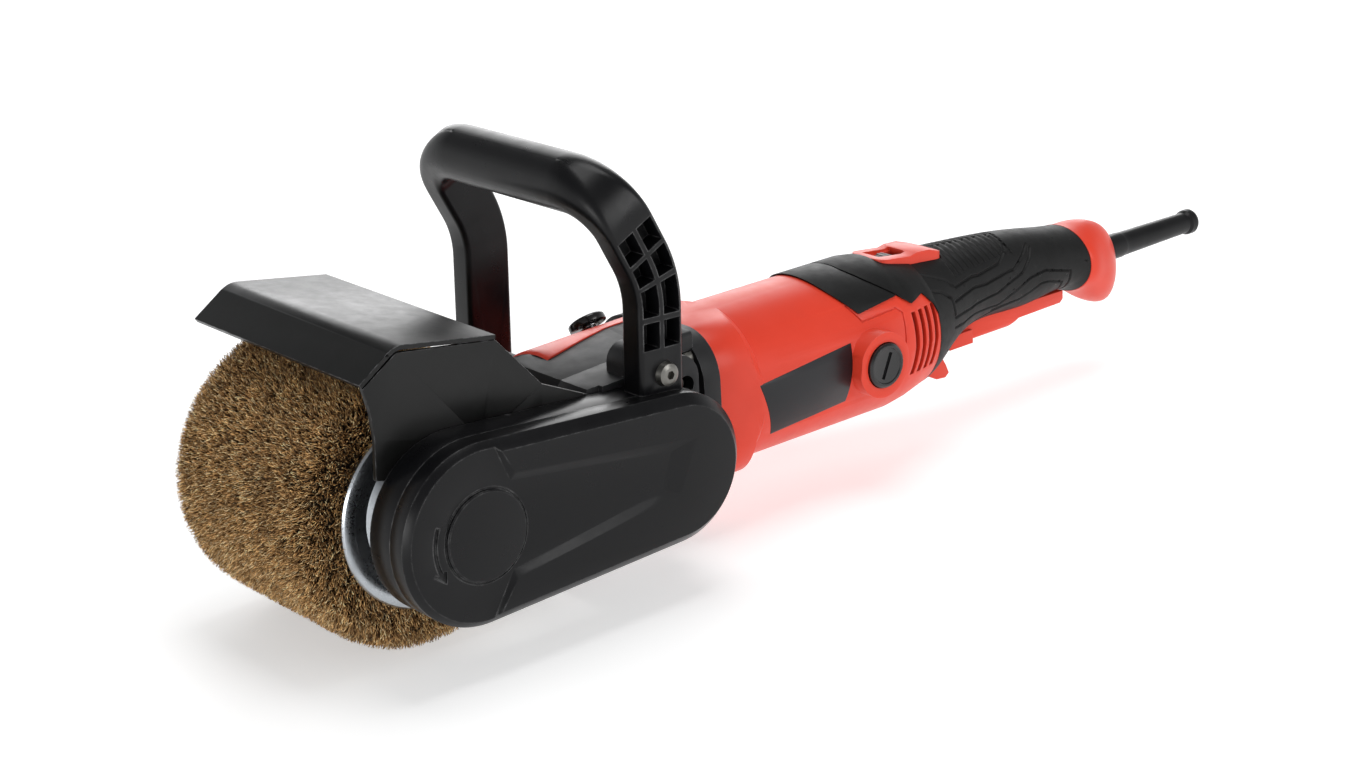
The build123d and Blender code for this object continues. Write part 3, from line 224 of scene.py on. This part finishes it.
def metal(name, colour, rough, along=(1, 1, 1), grain=900.0, stain=0.12):
    """Machined or plated metal with grain along one direction and faint stains."""
    look = Look(name, colour, rough, metal=1.0)
    streak = look.noise(grain, 4.0, 0.6, at=look.stretched(*along))
    stains = look.noise(60.0, 5.0, 0.6)
    base = look.blend(streak, rgba(colour, 1 - stain), rgba(colour, 1 + stain))
    look.colour(look.blend(look.spread(stains, 0.35, 0.75, 0.0, 0.45), base, rgba(colour, 0.70)))
    look.rough(look.spread(look.math("ADD", streak, stains), 0.7, 1.3, rough - 0.07, rough + 0.12))
    look.bump(streak, 0.004 * MM)
    return look


def rubber(name, colour, rough):
    """Matt rubber with a fine pebble grain and a little pale dust."""
    look = Look(name, colour, rough, specular=0.20)
    dust = look.spread(look.noise(34.0, 5.0, 0.65), 0.35, 0.8, 0.0, 0.55)
    look.colour(look.blend(dust, rgba(colour), rgba([c + 0.009 for c in colour])))
    look.rough(look.spread(look.noise(180.0, 4.0, 0.6), 0.3, 0.7, rough - 0.05, rough + 0.07))
    look.bump(look.cells(1500.0), 0.02 * MM, 0.5)
    return look


def wound_wire(name, colour, rough, pitch):
    """Turns of enamelled wire lying side by side."""
    look = Look(name, colour, rough, metal=0.7)
    turns = look.node("ShaderNodeTexWave", bands_direction="DIAGONAL")
    look.link(look.place, turns.inputs["Vector"])
    turns.inputs["Scale"].default_value = 1 / pitch
    turns.inputs["Distortion"].default_value = 1.5
    look.colour(look.blend(turns.outputs["Fac"], rgba(colour, 0.35), rgba(colour, 1.1)))
    look.rough(look.spread(turns.outputs["Fac"], 0.0, 1.0, rough + 0.2, rough))
    look.bump(turns.outputs["Fac"], 0.2 * MM)
    return look


def stacked_sheet(name, colour, rough):
    """Thin sheets stacked along the motor's axis."""
    look = Look(name, colour, rough, metal=1.0)
    sheets = look.noise(2200.0, 1.0, at=look.stretched(0.02, 1, 0.02))
    look.colour(look.blend(sheets, rgba(colour, 0.45), rgba(colour, 1.2)))
    look.rough(look.spread(sheets, 0.3, 0.7, rough + 0.15, rough))
    look.bump(sheets, 0.05 * MM)
    return look


# One look for each material slot except the wire's, whose looks are made with the drum.
LOOKS = {
    "case_black": moulded("case_black", (0.0030, 0.0030, 0.0036), 0.31, 1900.0, 0.008 * MM, wear_and_highlight=0.45,
                          specular=0.22),
    "housing_red": moulded("housing_red", (0.68, 0.047, 0.022), 0.36, 1700.0, 0.008 * MM, wear_and_highlight=0.14,
                           uneven=0.04, specular=0.28),
    "cast_grey": painted("cast_grey", (0.012, 0.012, 0.013), 0.50, wear_and_highlight=0.4, specular=0.26),
    "guard_black": painted("guard_black", (0.0020, 0.0020, 0.0019), 0.33, wear_and_highlight=0.5, specular=0.30),
    "grip_rubber": rubber("grip_rubber", (0.0036, 0.0036, 0.0036), 0.50),
    "sleeve_rubber": rubber("sleeve_rubber", (0.0050, 0.0050, 0.0055), 0.36),
    "cap_black": moulded("cap_black", (0.0075, 0.0075, 0.0080), 0.20, 700.0, 0.004 * MM, wear_and_highlight=0.08),
    "label_grey": moulded("label_grey", (0.010, 0.010, 0.012), 0.34, 1300.0, 0.004 * MM, uneven=0.03,
                          specular=0.35),
    "dial_grey": moulded("dial_grey", (0.16, 0.16, 0.16), 0.40, 1400.0, 0.010 * MM, wear_and_highlight=0.3),
    "inner_plastic": moulded("inner_plastic", (0.060, 0.060, 0.066), 0.45, 1400.0, 0.010 * MM),
    "carbon": moulded("carbon", (0.020, 0.020, 0.022), 0.50, 2200.0, 0.020 * MM),
    "belt_rubber": rubber("belt_rubber", (0.014, 0.014, 0.014), 0.60),
    "zinc_steel": metal("zinc_steel", (0.50, 0.53, 0.56), 0.30),
    "machined_steel": metal("machined_steel", (0.55, 0.55, 0.56), 0.24, along=(1, 0.2, 0.2)),
    "screw_steel": metal("screw_steel", (0.19, 0.185, 0.17), 0.32),
    "winding_copper": wound_wire("winding_copper", (0.72, 0.30, 0.13), 0.30, 1.2 * MM),
    "laminated_iron": stacked_sheet("laminated_iron", (0.32, 0.32, 0.34), 0.38),
}


# ---- CAD nodes -----------------------------------------------------------------------------------
def smoothing_group(angle_deg):
    """Geometry nodes that shade faces smooth except across edges sharper than the angle."""
    group = bpy.data.node_groups.new("smooth_by_angle", "GeometryNodeTree")
    group.interface.new_socket("Geometry", in_out="INPUT", socket_type="NodeSocketGeometry")
    group.interface.new_socket("Geometry", in_out="OUTPUT", socket_type="NodeSocketGeometry")
    start, end = group.nodes.new("NodeGroupInput"), group.nodes.new("NodeGroupOutput")
    forget = group.nodes.new("GeometryNodeRemoveAttribute")
    forget.inputs["Name"].default_value = "custom_normal"
    faces = group.nodes.new("GeometryNodeSetShadeSmooth")
    edges = group.nodes.new("GeometryNodeSetShadeSmooth")
    edges.domain = "EDGE"
    angle = group.nodes.new("GeometryNodeInputMeshEdgeAngle")
    below = group.nodes.new("FunctionNodeCompare")
    below.operation = "LESS_THAN"
    below.inputs["B"].default_value = math.radians(angle_deg)
    link = group.links.new
    link(start.outputs[0], forget.inputs["Geometry"])
    link(forget.outputs["Geometry"], faces.inputs["Geometry"])
    link(faces.outputs["Geometry"], edges.inputs["Geometry"])
    link(angle.outputs["Unsigned Angle"], below.inputs["A"])
    link(below.outputs["Result"], edges.inputs["Shade Smooth"])
    link(edges.outputs["Geometry"], end.inputs[0])
    return group


CAD_SMOOTHING = smoothing_group(32.0)
GRIP_SMOOTHING = smoothing_group(66.0)


def add_smoothing(piece, group):
    piece.modifiers.new("smooth", "NODES").node_group = group


def dress(node, look, edge=0.0):
    """Gives a CAD node its material, a small round on its edges and smooth shading."""
    piece = NODES[node]
    piece.data.materials.clear()
    piece.data.materials.append(look.material)
    weld = piece.modifiers.new("weld", "WELD")
    weld.merge_threshold = 0.002 * MM
    if edge > 0:
        bevel = piece.modifiers.new("bevel", "BEVEL")
        bevel.width = edge
        bevel.segments = 2
        bevel.limit_method = "ANGLE"
        bevel.angle_limit = math.radians(38.0)
        bevel.use_clamp_overlap = True
    add_smoothing(piece, CAD_SMOOTHING)


# Widths in mm of the small rounds on the edges, by CAD node.
EDGE = {
    "belt_cover": 0.8, "belt_housing": 0.6, "d_handle": 0.6, "gear_housing": 0.6, "output_housing": 0.6,
    "guard_sheet": 0.3, "guard_side_plate": 0.3, "motor_housing": 0.4, "gear_head_shroud": 0.4,
    "rear_cap": 0.8, "trigger": 0.8, "finger_hook": 0.9, "speed_dial_bezel": 0.5, "side_label_plates": 0.1,
    "housing_top_pad": 0.25, "brush_caps": 0.2, "spindle_lock_button": 0.2, "drum_flanges": 0.1,
    "drum_bolt": 0.25, "speed_dial": 0.1,
}


def dress_cad():
    for row in frame["record"]["subparts"]:
        node = row["node"]
        if row["material_slot"] in LOOKS:
            dress(node, LOOKS[row["material_slot"]], EDGE.get(node, 0.0) * MM)


# ---- new meshes ----------------------------------------------------------------------------------
def placed(name, mesh, look):
    """A new object in the scene with this mesh, shaded smooth and in one look."""
    piece = bpy.data.objects.new(name, mesh)
    bpy.context.scene.collection.objects.link(piece)
    mesh.materials.clear()
    mesh.materials.append(look.material)
    mesh.shade_smooth()
    return piece


# ---- brush drum ----------------------------------------------------------------------------------
SHOULDER = 10.5 * MM
RING_R = 40.9 * MM
CORE_INSET = 4.8 * MM
AXIS = np.array([1.0, 0.0, 0.0])
STRAND_TONES = [
    (0.15, 0.078, 0.030), (0.33, 0.180, 0.070), (0.58, 0.330, 0.130),
    (0.88, 0.560, 0.240), (1.00, 0.770, 0.430), (0.40, 0.215, 0.082), (0.70, 0.415, 0.165),
]
STRANDS_EACH = 13800
STRAND_SEED, SWAY_SEED = 11, 111
STRAND_LENGTH = 5.6 * MM
STRAND_R = 0.125 * MM
STRAND_MARGIN = 0.05 * MM
STRAND_RINGS, STRAND_CORNERS = 3, 3
ROW_PITCH = 8.6 * MM
LEAN_ACROSS, LEAN_AT_SIDES = np.radians(9.0), np.radians(46.0)
SCATTER, SWAY = 0.26, 0.15
SWAY_WAVES, SWAY_SHORT, SWAY_LONG = 7, 5 * MM, 16 * MM
# How deep the tips lie, in mm.
DEPTH_MIDDLE, DEPTH_MIN, DEPTH_MAX = 1.9, 0.2, 4.5


def drum_outline(inset, steps=10):
    """(x, r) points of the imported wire's outline from the hub's far side round to its near side."""
    half, radius = DRUM_HALF - inset, DRUM_R - inset
    side = [(-half, RING_R - 6 * MM), (-half, radius - SHOULDER)]
    for i in range(1, steps + 1):
        a = math.pi / 2 * i / steps
        side.append((-half + SHOULDER * (1 - math.cos(a)), radius - SHOULDER * (1 - math.sin(a))))
    return side + [(-x, r) for x, r in reversed(side)]


def turned(name, outline, look, body, centre, steps=96):
    """A closed ring turned about the X axis through centre."""
    verts, faces = [], []
    count = len(outline)
    for i in range(steps):
        a = 2 * math.pi * i / steps
        for x, r in outline:
            verts.append((centre.x + x, centre.y + r * math.cos(a), centre.z + r * math.sin(a)))
    for i in range(steps):
        for j in range(count):
            a, b = i * count + j, i * count + (j + 1) % count
            c, d = (i + 1) % steps * count + (j + 1) % count, (i + 1) % steps * count + j
            faces.append((a, b, c, d))
    mesh = bpy.data.meshes.new(name)
    mesh.from_pydata(verts, [], faces)
    piece = placed(name, mesh, look)
    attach(piece, body)
    return piece


def waves(points, rng, count, low, high):
    """Smooth seeded noise at each point, about -1 to 1."""
    total = np.zeros(len(points))
    for _ in range(count):
        k = rng.normal(size=3)
        k *= 2 * math.pi / rng.uniform(low, high) / np.linalg.norm(k)
        total += np.sin(points @ k + rng.uniform(0, 2 * math.pi))
    return total / math.sqrt(count)


def strand_field(count, rng):
    """Tip places (x, radius, turn) and leans of strands spread evenly over the drum's surface."""
    radius, half = DRUM_R, DRUM_HALF
    ring = (RING_R, radius - SHOULDER)
    areas = np.array([
        2 * (half - SHOULDER) * radius,
        math.pi * SHOULDER * (radius - 0.36 * SHOULDER),
        (ring[1] ** 2 - ring[0] ** 2)])
    part = rng.choice(3, size=count, p=areas / areas.sum())
    side = rng.choice((-1.0, 1.0), size=count)
    a = rng.uniform(0, math.pi / 2, count)
    x = np.where(part == 0, rng.uniform(-1, 1, count) * (half - SHOULDER), 0)
    x = np.where(part == 1, side * (half - SHOULDER * (1 - np.cos(a))), x)
    x = np.where(part == 2, side * half, x)
    r = np.where(part == 1, radius - SHOULDER * (1 - np.sin(a)), radius)
    r = np.where(part == 2, np.sqrt(rng.uniform(ring[0] ** 2, ring[1] ** 2, count)), r)
    out = np.where(part == 1, np.cos(a), np.where(part == 2, 1.0, 0.0)) * side
    lean = LEAN_ACROSS * (x / half) ** 3 + LEAN_AT_SIDES * out * np.abs(out)
    turn = rng.uniform(0, 2 * math.pi, count)
    return x, r, turn, lean


def strand_depth(x, sway, rng):
    """How deep the tips lie: in rows round the drum, uneven, and with a few strands standing out."""
    count = len(x)
    rows = 0.5 + 0.5 * np.sin(2 * math.pi * x / ROW_PITCH + 1.2 * sway)
    depth = (DEPTH_MIDDLE + 0.6 * rows * rng.uniform(0, 1, count) + 0.5 * np.clip(sway, 0, 2)
             + 0.3 * rng.normal(size=count) - rng.exponential(0.75, count))
    return np.clip(depth, DEPTH_MIN, DEPTH_MAX) * MM


def strand_tubes(tip, aim, rng):
    """Points of crinkled tubes that end at the tips, by strand, ring and corner."""
    count = len(tip)
    length = STRAND_LENGTH + rng.uniform(-0.8, 0.8, count) * MM
    side_a = np.cross(aim, AXIS)
    side_a /= np.linalg.norm(side_a, axis=1)[:, None]
    side_b = np.cross(aim, side_a)
    wire = STRAND_R * rng.uniform(0.85, 1.15, count)
    phase_a, phase_b = rng.uniform(0, 2 * math.pi, (2, count))
    waviness = rng.uniform(0.15, 0.50, count) * MM
    co = np.zeros((count, STRAND_RINGS, STRAND_CORNERS, 3))
    for i in range(STRAND_RINGS):
        t = i / (STRAND_RINGS - 1)
        centre = tip - aim * (length * (1 - t))[:, None]
        bend_a = waviness * np.sin(phase_a + t * 7.0)
        bend_b = waviness * np.sin(phase_b + t * 6.1)
        centre = centre + bend_a[:, None] * side_a + bend_b[:, None] * side_b
        for j in range(STRAND_CORNERS):
            w = 2 * math.pi * j / STRAND_CORNERS
            spoke = math.cos(w) * side_a + math.sin(w) * side_b
            co[:, i, j] = centre + spoke * wire[:, None]
    return co.reshape(-1, 3)


def kept_inside(co):
    """Draws points that pass the drum's full size back to just inside it."""
    end = DRUM_HALF - STRAND_MARGIN
    co[:, 0] = np.clip(co[:, 0], -end, end)
    reach = np.hypot(co[:, 1], co[:, 2])
    co[:, 1:] *= np.minimum(1.0, (DRUM_R - STRAND_MARGIN) / reach)[:, None]
    return co


def strand_mesh(name, co, count, rng):
    """One mesh of all the tubes with blunt ends, each with a tone of its own and its height."""
    corners = STRAND_CORNERS
    each = STRAND_RINGS * corners
    quads = [(i * corners + j, i * corners + (j + 1) % corners, (i + 1) * corners + (j + 1) % corners,
              (i + 1) * corners + j) for i in range(STRAND_RINGS - 1) for j in range(corners)]
    caps = [(2, 1, 0), (each - 3, each - 2, each - 1)]
    loops = np.array([v for face in quads + caps for v in face])
    sizes = np.array([len(face) for face in quads + caps])
    mesh = bpy.data.meshes.new(name)
    base = (np.arange(count) * each)[:, None]
    mesh.vertices.add(count * each)
    mesh.vertices.foreach_set("co", co.ravel())
    mesh.loops.add(count * len(loops))
    mesh.loops.foreach_set("vertex_index", (base + loops[None, :]).ravel().astype(np.int32))
    mesh.polygons.add(count * len(sizes))
    starts = np.concatenate([[0], np.cumsum(np.tile(sizes, count))[:-1]]).astype(np.int32)
    mesh.polygons.foreach_set("loop_start", starts)
    mesh.update(calc_edges=True)
    mesh.validate()
    tone = mesh.attributes.new("tone", "FLOAT", "POINT")
    tone.data.foreach_set("value", np.repeat(rng.uniform(0, 1, count), each).astype(np.float32))
    # The height along each strand sets how far the material's painted shade reaches up it.
    height = mesh.attributes.new("height", "FLOAT", "POINT")
    ramp = np.repeat(np.linspace(0, 1, STRAND_RINGS), corners)
    height.data.foreach_set("value", np.tile(ramp, count).astype(np.float32))
    return mesh


def strands(name, look, count, rng):
    """One merged piece of crinkled wires that point outward, lean at the ends and sway in clumps."""
    x, r, turn, lean = strand_field(count, rng)
    none = np.zeros(count)
    outward = np.stack([none, np.cos(turn), np.sin(turn)], 1)
    around = np.stack([none, -np.sin(turn), np.cos(turn)], 1)
    tip = x[:, None] * AXIS + r[:, None] * outward
    seeded = [np.random.default_rng(SWAY_SEED + i) for i in range(3)]
    sway = [waves(tip, own, SWAY_WAVES, SWAY_SHORT, SWAY_LONG) for own in seeded]
    along_x = np.sin(lean) + SWAY * sway[0] + rng.normal(0, SCATTER, count)
    along_t = SWAY * sway[1] + rng.normal(0, SCATTER, count)
    aim = np.cos(lean)[:, None] * outward + along_x[:, None] * AXIS + along_t[:, None] * around
    aim /= np.linalg.norm(aim, axis=1)[:, None]
    tip = tip - aim * strand_depth(x, sway[2], rng)[:, None]
    co = kept_inside(strand_tubes(tip, aim, rng)) + np.array(DRUM)
    piece = placed(name, strand_mesh(name, co, count, rng), look)
    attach(piece, "drum")


def wire_look(name, colour):
    """One tone of brass wire, darkened by painted shade towards its inner end and speckled from wire to
    wire.
    """
    look = Look(name, colour, 0.38, metal=0.62, specular=0.4)
    own = look.attribute("tone")
    shade = look.blend(own, rgba(colour, 0.45), rgba(colour, 1.45))
    # Painted shade: each wire fades to a near-black brown towards its inner end, for the shade deep in the
    # brush; the noise patches darken it further at random.
    painted_root_shade = look.spread(look.attribute("height"), 0.25, 0.85, 0.0, 1.0)
    patches = look.spread(look.noise(75.0, 4.0), 0.35, 0.65, 0.72, 1.0)
    tip = look.math("MULTIPLY", painted_root_shade, patches)
    look.colour(look.blend(tip, rgba((0.026, 0.014, 0.006)), shade))
    look.rough(look.spread(own, 0.0, 1.0, 0.30, 0.48))
    look.bump(look.noise(4000.0, 2.0), 0.01 * MM)
    return look


def core_look():
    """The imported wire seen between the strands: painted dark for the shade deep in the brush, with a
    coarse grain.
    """
    look = Look("wire_depth_painted_shade", (0.045, 0.028, 0.013), 0.6, metal=0.4)
    grain = look.noise(1500.0, 4.0, 0.7)
    light = look.spread(grain, 0.35, 0.7, 0, 1)
    look.colour(look.blend(light, rgba((0.010, 0.006, 0.003)), rgba((0.060, 0.034, 0.015))))
    look.rough(look.spread(grain, 0.3, 0.7, 0.7, 0.45))
    look.bump(grain, 0.6 * MM)
    return look


def make_drum():
    core = turned("brush_wire_core", drum_outline(CORE_INSET), core_look(), "drum", DRUM)
    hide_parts("bristle_pack")
    for i, colour in enumerate(STRAND_TONES):
        rng = np.random.default_rng(STRAND_SEED + i)
        strands(f"brush_wires_{i + 1}", wire_look(f"wire_tone_{i + 1}", colour), STRANDS_EACH, rng)


# ---- rubber grip ---------------------------------------------------------------------------------
GRIP_Y0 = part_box("grip_overmold_right")[0].y
# Grooves, the same on both sides, as (mm from the grip's front, degrees above level).
GROOVES = [
    [(18.4, 32), (36.4, 31), (53, 37), (62, 54), (64, 66)],
    [(15.7, 20), (40.3, 17.5), (61, 24), (70.4, 41), (77, 56)],
    [(14, 6), (29.4, -2), (49, -0.5), (66.4, 17), (74, 36), (78, 50)],
    [(22.4, -12), (51, -23), (71.6, 7), (82.4, 13), (101, 5), (102.8, -22), (105, -48)],
    [(48.5, -30), (66.2, -25.5), (80, -6), (86, -6), (96.8, -15), (99.3, -42)],
    [(0.5, 56), (13.5, 42), (17, 34)],
    [(0.5, 40), (7, 35), (13, 25), (14, 6)],
    [(22.4, -12), (14, -4)],
    [(26, -44), (51, -34), (66.2, -25.5)],
]
# In mm: how deep the grooves and ribs go, half a groove's width, and the ribs' start and pitch.
GROOVE_DEPTH, GROOVE_HALF = 0.80, 0.62
RIB_COUNT = 11
RIB_FIRST, RIB_PITCH, RIB_DEPTH = 22.5, 4.0, 0.85
# The ribs bow by this many mm for each square degree away from their middle, which is in degrees.
RIB_BOW, RIB_BOW_MIDDLE = 0.0021, 62.0
# Limits of the ribbed area in degrees above level. The lower one rises toward the rear.
RIB_LOW, RIB_HIGH = 41, 101
# Neither ribs nor grooves this close to the grip's ends, in mm.
END_MARGIN = 0.6
# The grip's sections in mm: distance from its front, half width, half height, and the middle's rise.
STATION_Y = [0, 14, 32, 57, 84, 115]
STATION_HALF = [31.8, 27.6, 23.2, 21.0, 20.3, 20.3]
STATION_TALL = [31.8, 28.1, 22.25, 19.8, 18.25, 16.45]
STATION_RISE = [-1.8, 1.1, 5.75, 6.4, 4.65, 1.45]


def segment_distance(p, a, b):
    """Distances of points p (n, 2) from the stretch a to b."""
    a, b = np.array(a), np.array(b)
    t = np.clip(((p - a) @ (b - a)) / ((b - a) @ (b - a)), 0, 1)
    return np.linalg.norm(p - (a + t[:, None] * (b - a)), axis=1)


def unrolled(co):
    """Mm along the grip, degrees above level, arc lengths in mm, and heights of the sections' middles."""
    y = (co[:, 1] - GRIP_Y0) / MM
    half = np.interp(y, STATION_Y, STATION_HALF)
    tall = np.interp(y, STATION_Y, STATION_TALL)
    mid_z = MOTOR.z + np.interp(y, STATION_Y, STATION_RISE) * MM
    up, aside = (co[:, 2] - mid_z) / MM / tall, np.abs(co[:, 0] - MOTOR.x) / MM / half
    angle = np.degrees(np.arctan2(up, aside))
    return y, angle, angle * np.radians(1.0) * (half + tall) / 2, mid_z


def groove_distance(y, arc):
    """Distances to the nearest groove, in mm."""
    flat = np.stack([y, arc], 1)
    radius = np.radians(1.0) * (np.array(STATION_HALF) + np.array(STATION_TALL)) / 2
    nearest = np.full(len(y), 99.0)
    for line in GROOVES:
        points = [(py, pa * np.interp(py, STATION_Y, radius)) for py, pa in line]
        for a, b in zip(points[:-1], points[1:]):
            nearest = np.minimum(nearest, segment_distance(flat, a, b))
    return nearest


def grip_relief(co, normal):
    """How far each outer point of the grip sinks in, in metres."""
    y, angle, arc, mid_z = unrolled(co)
    sink = GROOVE_DEPTH * np.clip(1.35 - groove_distance(y, arc) / GROOVE_HALF, 0, 1)
    bow = y - RIB_BOW * (angle - RIB_BOW_MIDDLE) ** 2
    inside = (angle > RIB_LOW + 0.10 * (y - 20)) * (angle < RIB_HIGH)
    reach = (RIB_COUNT - 0.5) * RIB_PITCH
    inside = inside * (bow > RIB_FIRST - RIB_PITCH / 2) * (bow < RIB_FIRST + reach)
    wave = 0.5 - 0.5 * np.cos(2 * math.pi * (bow - RIB_FIRST) / RIB_PITCH)
    sink = np.maximum(sink, RIB_DEPTH * inside * np.clip(wave * 1.25 - 0.15, 0, 1))
    middle_line = np.stack([np.full(len(co), MOTOR.x), co[:, 1], mid_z], 1)
    outer = (normal * (co - middle_line)).sum(1) > 0
    ends = np.clip(np.minimum(y - END_MARGIN, STATION_Y[-1] - END_MARGIN - y) / 0.8, 0, 1)
    return sink * outer * ends * MM


# Edges longer than COARSE are split, and those longer than FINE within NEAR_GROOVE mm of a groove.
COARSE, FINE = 1.1 * MM, 0.5 * MM
NEAR_GROOVE = 1.8
SPLIT_ROUNDS = 10


def faces_out(vert, axis_z):
    away = Vector((vert.co.x - MOTOR.x, 0, vert.co.z - axis_z))
    return vert.normal.dot(away) > 0.2 * away.length


def edges_to_split(mesh, axis_z):
    """Edges of the outer surface that are too long: the fine limit holds beside grooves."""
    edges = [e for e in mesh.edges if e.calc_length() > FINE and all(faces_out(v, axis_z) for v in e.verts)]
    centres = np.array([(e.verts[0].co + e.verts[1].co) / 2 for e in edges]).reshape(-1, 3)
    y, _, arc, _ = unrolled(centres)
    near = groove_distance(y, arc) < NEAR_GROOVE
    return [e for e, close in zip(edges, near) if close or e.calc_length() > COARSE]


def make_grip(side):
    """A finely divided copy of the rubber skin with its ribs and grooves pressed in."""
    node = f"grip_overmold_{side}"
    mesh = bmesh.new()
    mesh.from_mesh(NODES[node].data)
    bmesh.ops.remove_doubles(mesh, verts=mesh.verts, dist=0.004 * MM)
    mesh.normal_update()
    axis_z = middle(node).z
    for _ in range(SPLIT_ROUNDS):
        edges = edges_to_split(mesh, axis_z)
        if not edges:
            break
        bmesh.ops.subdivide_edges(mesh, edges=edges, cuts=1)
        bmesh.ops.triangulate(mesh, faces=[f for f in mesh.faces if len(f.verts) > 3])
    mesh.normal_update()
    co = np.array([v.co for v in mesh.verts])
    normal = np.array([v.normal for v in mesh.verts])
    for vert, depth in zip(mesh.verts, grip_relief(co, normal)):
        vert.co = vert.co - vert.normal * float(depth)
    made = bpy.data.meshes.new(f"ribbed_grip_{side}")
    mesh.to_mesh(made)
    mesh.free()
    piece = placed(made.name, made, LOOKS["grip_rubber"])
    add_smoothing(piece, GRIP_SMOOTHING)
    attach(piece, "body")
    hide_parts(node)


# ---- light, floor and camera ---------------------------------------------------------------------
# Name, place, target, size in metres and power in watts.
LAMPS = [
    ("top", (0.0, 0.1, 1.7), (0.0, 0.0, 0.0), 0.9, 12.0),
    ("behind", (-1.25, 0.95, 0.78), (0.0, -0.15, 0.08), 1.3, 13.0),
    ("front", (0.55, -1.5, 0.05), (0.0, -0.2, 0.03), 0.8, 10.0),
    ("side", (1.6, 0.5, 0.8), (0.0, 0.0, 0.05), 0.8, 9.0),
]


def area_light(name, place, target, size, power):
    lamp = bpy.data.lights.new(name, "AREA")
    lamp.energy = power
    lamp.shape = "RECTANGLE"
    lamp.size = size
    lamp.size_y = size
    thing = bpy.data.objects.new(name, lamp)
    bpy.context.scene.collection.objects.link(thing)
    thing.visible_camera = False
    thing.location = place
    thing.rotation_euler = (Vector(target) - Vector(place)).to_track_quat("-Z", "Y").to_euler()


FLOOR_REACH = 12.0
FLOOR_DROP = 0.2 * MM


def make_floor():
    """A pale floor with a glow of its own, which is stronger away from the machine."""
    look = Look("floor", (0.72, 0.72, 0.72), 0.7, specular=0.2)
    look.colour(look.blend(look.noise(3.0, 2.0), (0.71, 0.71, 0.71, 1), (0.74, 0.74, 0.74, 1)))
    look.set("Emission Color", (1, 1, 1, 1))
    away = look.node("ShaderNodeVectorMath", operation="LENGTH")
    look.link(look.place, away.inputs[0])
    glow = look.spread(away.outputs["Value"], 0.7, 2.6, 0.46, 0.74)
    look.link(glow, look.shader.inputs["Emission Strength"])
    mesh = bpy.data.meshes.new("floor")
    signs = ((-1, -1), (1, -1), (1, 1), (-1, 1))
    corners = [(a * FLOOR_REACH, b * FLOOR_REACH, -FLOOR_DROP) for a, b in signs]
    mesh.from_pydata(corners, [], [(0, 1, 2, 3)])
    floor = bpy.data.objects.new("floor", mesh)
    bpy.context.scene.collection.objects.link(floor)
    mesh.materials.append(look.material)


def make_light():
    """A pale sky, white at the horizon, and large soft panels."""
    world = bpy.data.worlds.new("studio")
    bpy.context.scene.world = world
    world.use_nodes = True
    tree = world.node_tree
    direction = tree.nodes.new("ShaderNodeTexCoord").outputs["Generated"]
    split = tree.nodes.new("ShaderNodeSeparateXYZ")
    tree.links.new(direction, split.inputs["Vector"])
    fade = tree.nodes.new("ShaderNodeMapRange")
    tree.links.new(split.outputs["Z"], fade.inputs["Value"])
    for socket, number in zip(RANGE_SOCKETS, (0.10, 0.50, 1.0, 0.28)):
        fade.inputs[socket].default_value = number
    background = tree.nodes["Background"]
    background.inputs["Color"].default_value = (0.98, 0.99, 1.0, 1)
    tree.links.new(fade.outputs["Result"], background.inputs["Strength"])
    for lamp in LAMPS:
        area_light(*lamp)


CAMERA_AT = (829.56 * MM, -738.69 * MM, 444.38 * MM)
CAMERA_RIGHT = (0.64469, 0.76272, -0.05123)
CAMERA_UP = (-0.22648, 0.25458, 0.94016)
CAMERA_AHEAD = (-0.73012, 0.59451, -0.33686)
LENS_MM = 69.12


def make_camera():
    lens = bpy.data.cameras.new("camera")
    lens.sensor_width = 36.0
    lens.lens = LENS_MM
    lens.clip_start = 0.01
    lens.clip_end = 60.0
    camera = bpy.data.objects.new("camera", lens)
    bpy.context.scene.collection.objects.link(camera)
    turn = Matrix((CAMERA_RIGHT, CAMERA_UP, [-c for c in CAMERA_AHEAD])).transposed()
    camera.matrix_world = Matrix.Translation(CAMERA_AT) @ turn.to_4x4()
    bpy.context.scene.camera = camera


# ---- build ---------------------------------------------------------------------------------------
dress_cad()
make_drum()
make_grip("left")
make_grip("right")
make_floor()
make_light()
make_camera()
bpy.context.scene.view_settings.view_transform = "Standard"

bpy.context.view_layer.update()
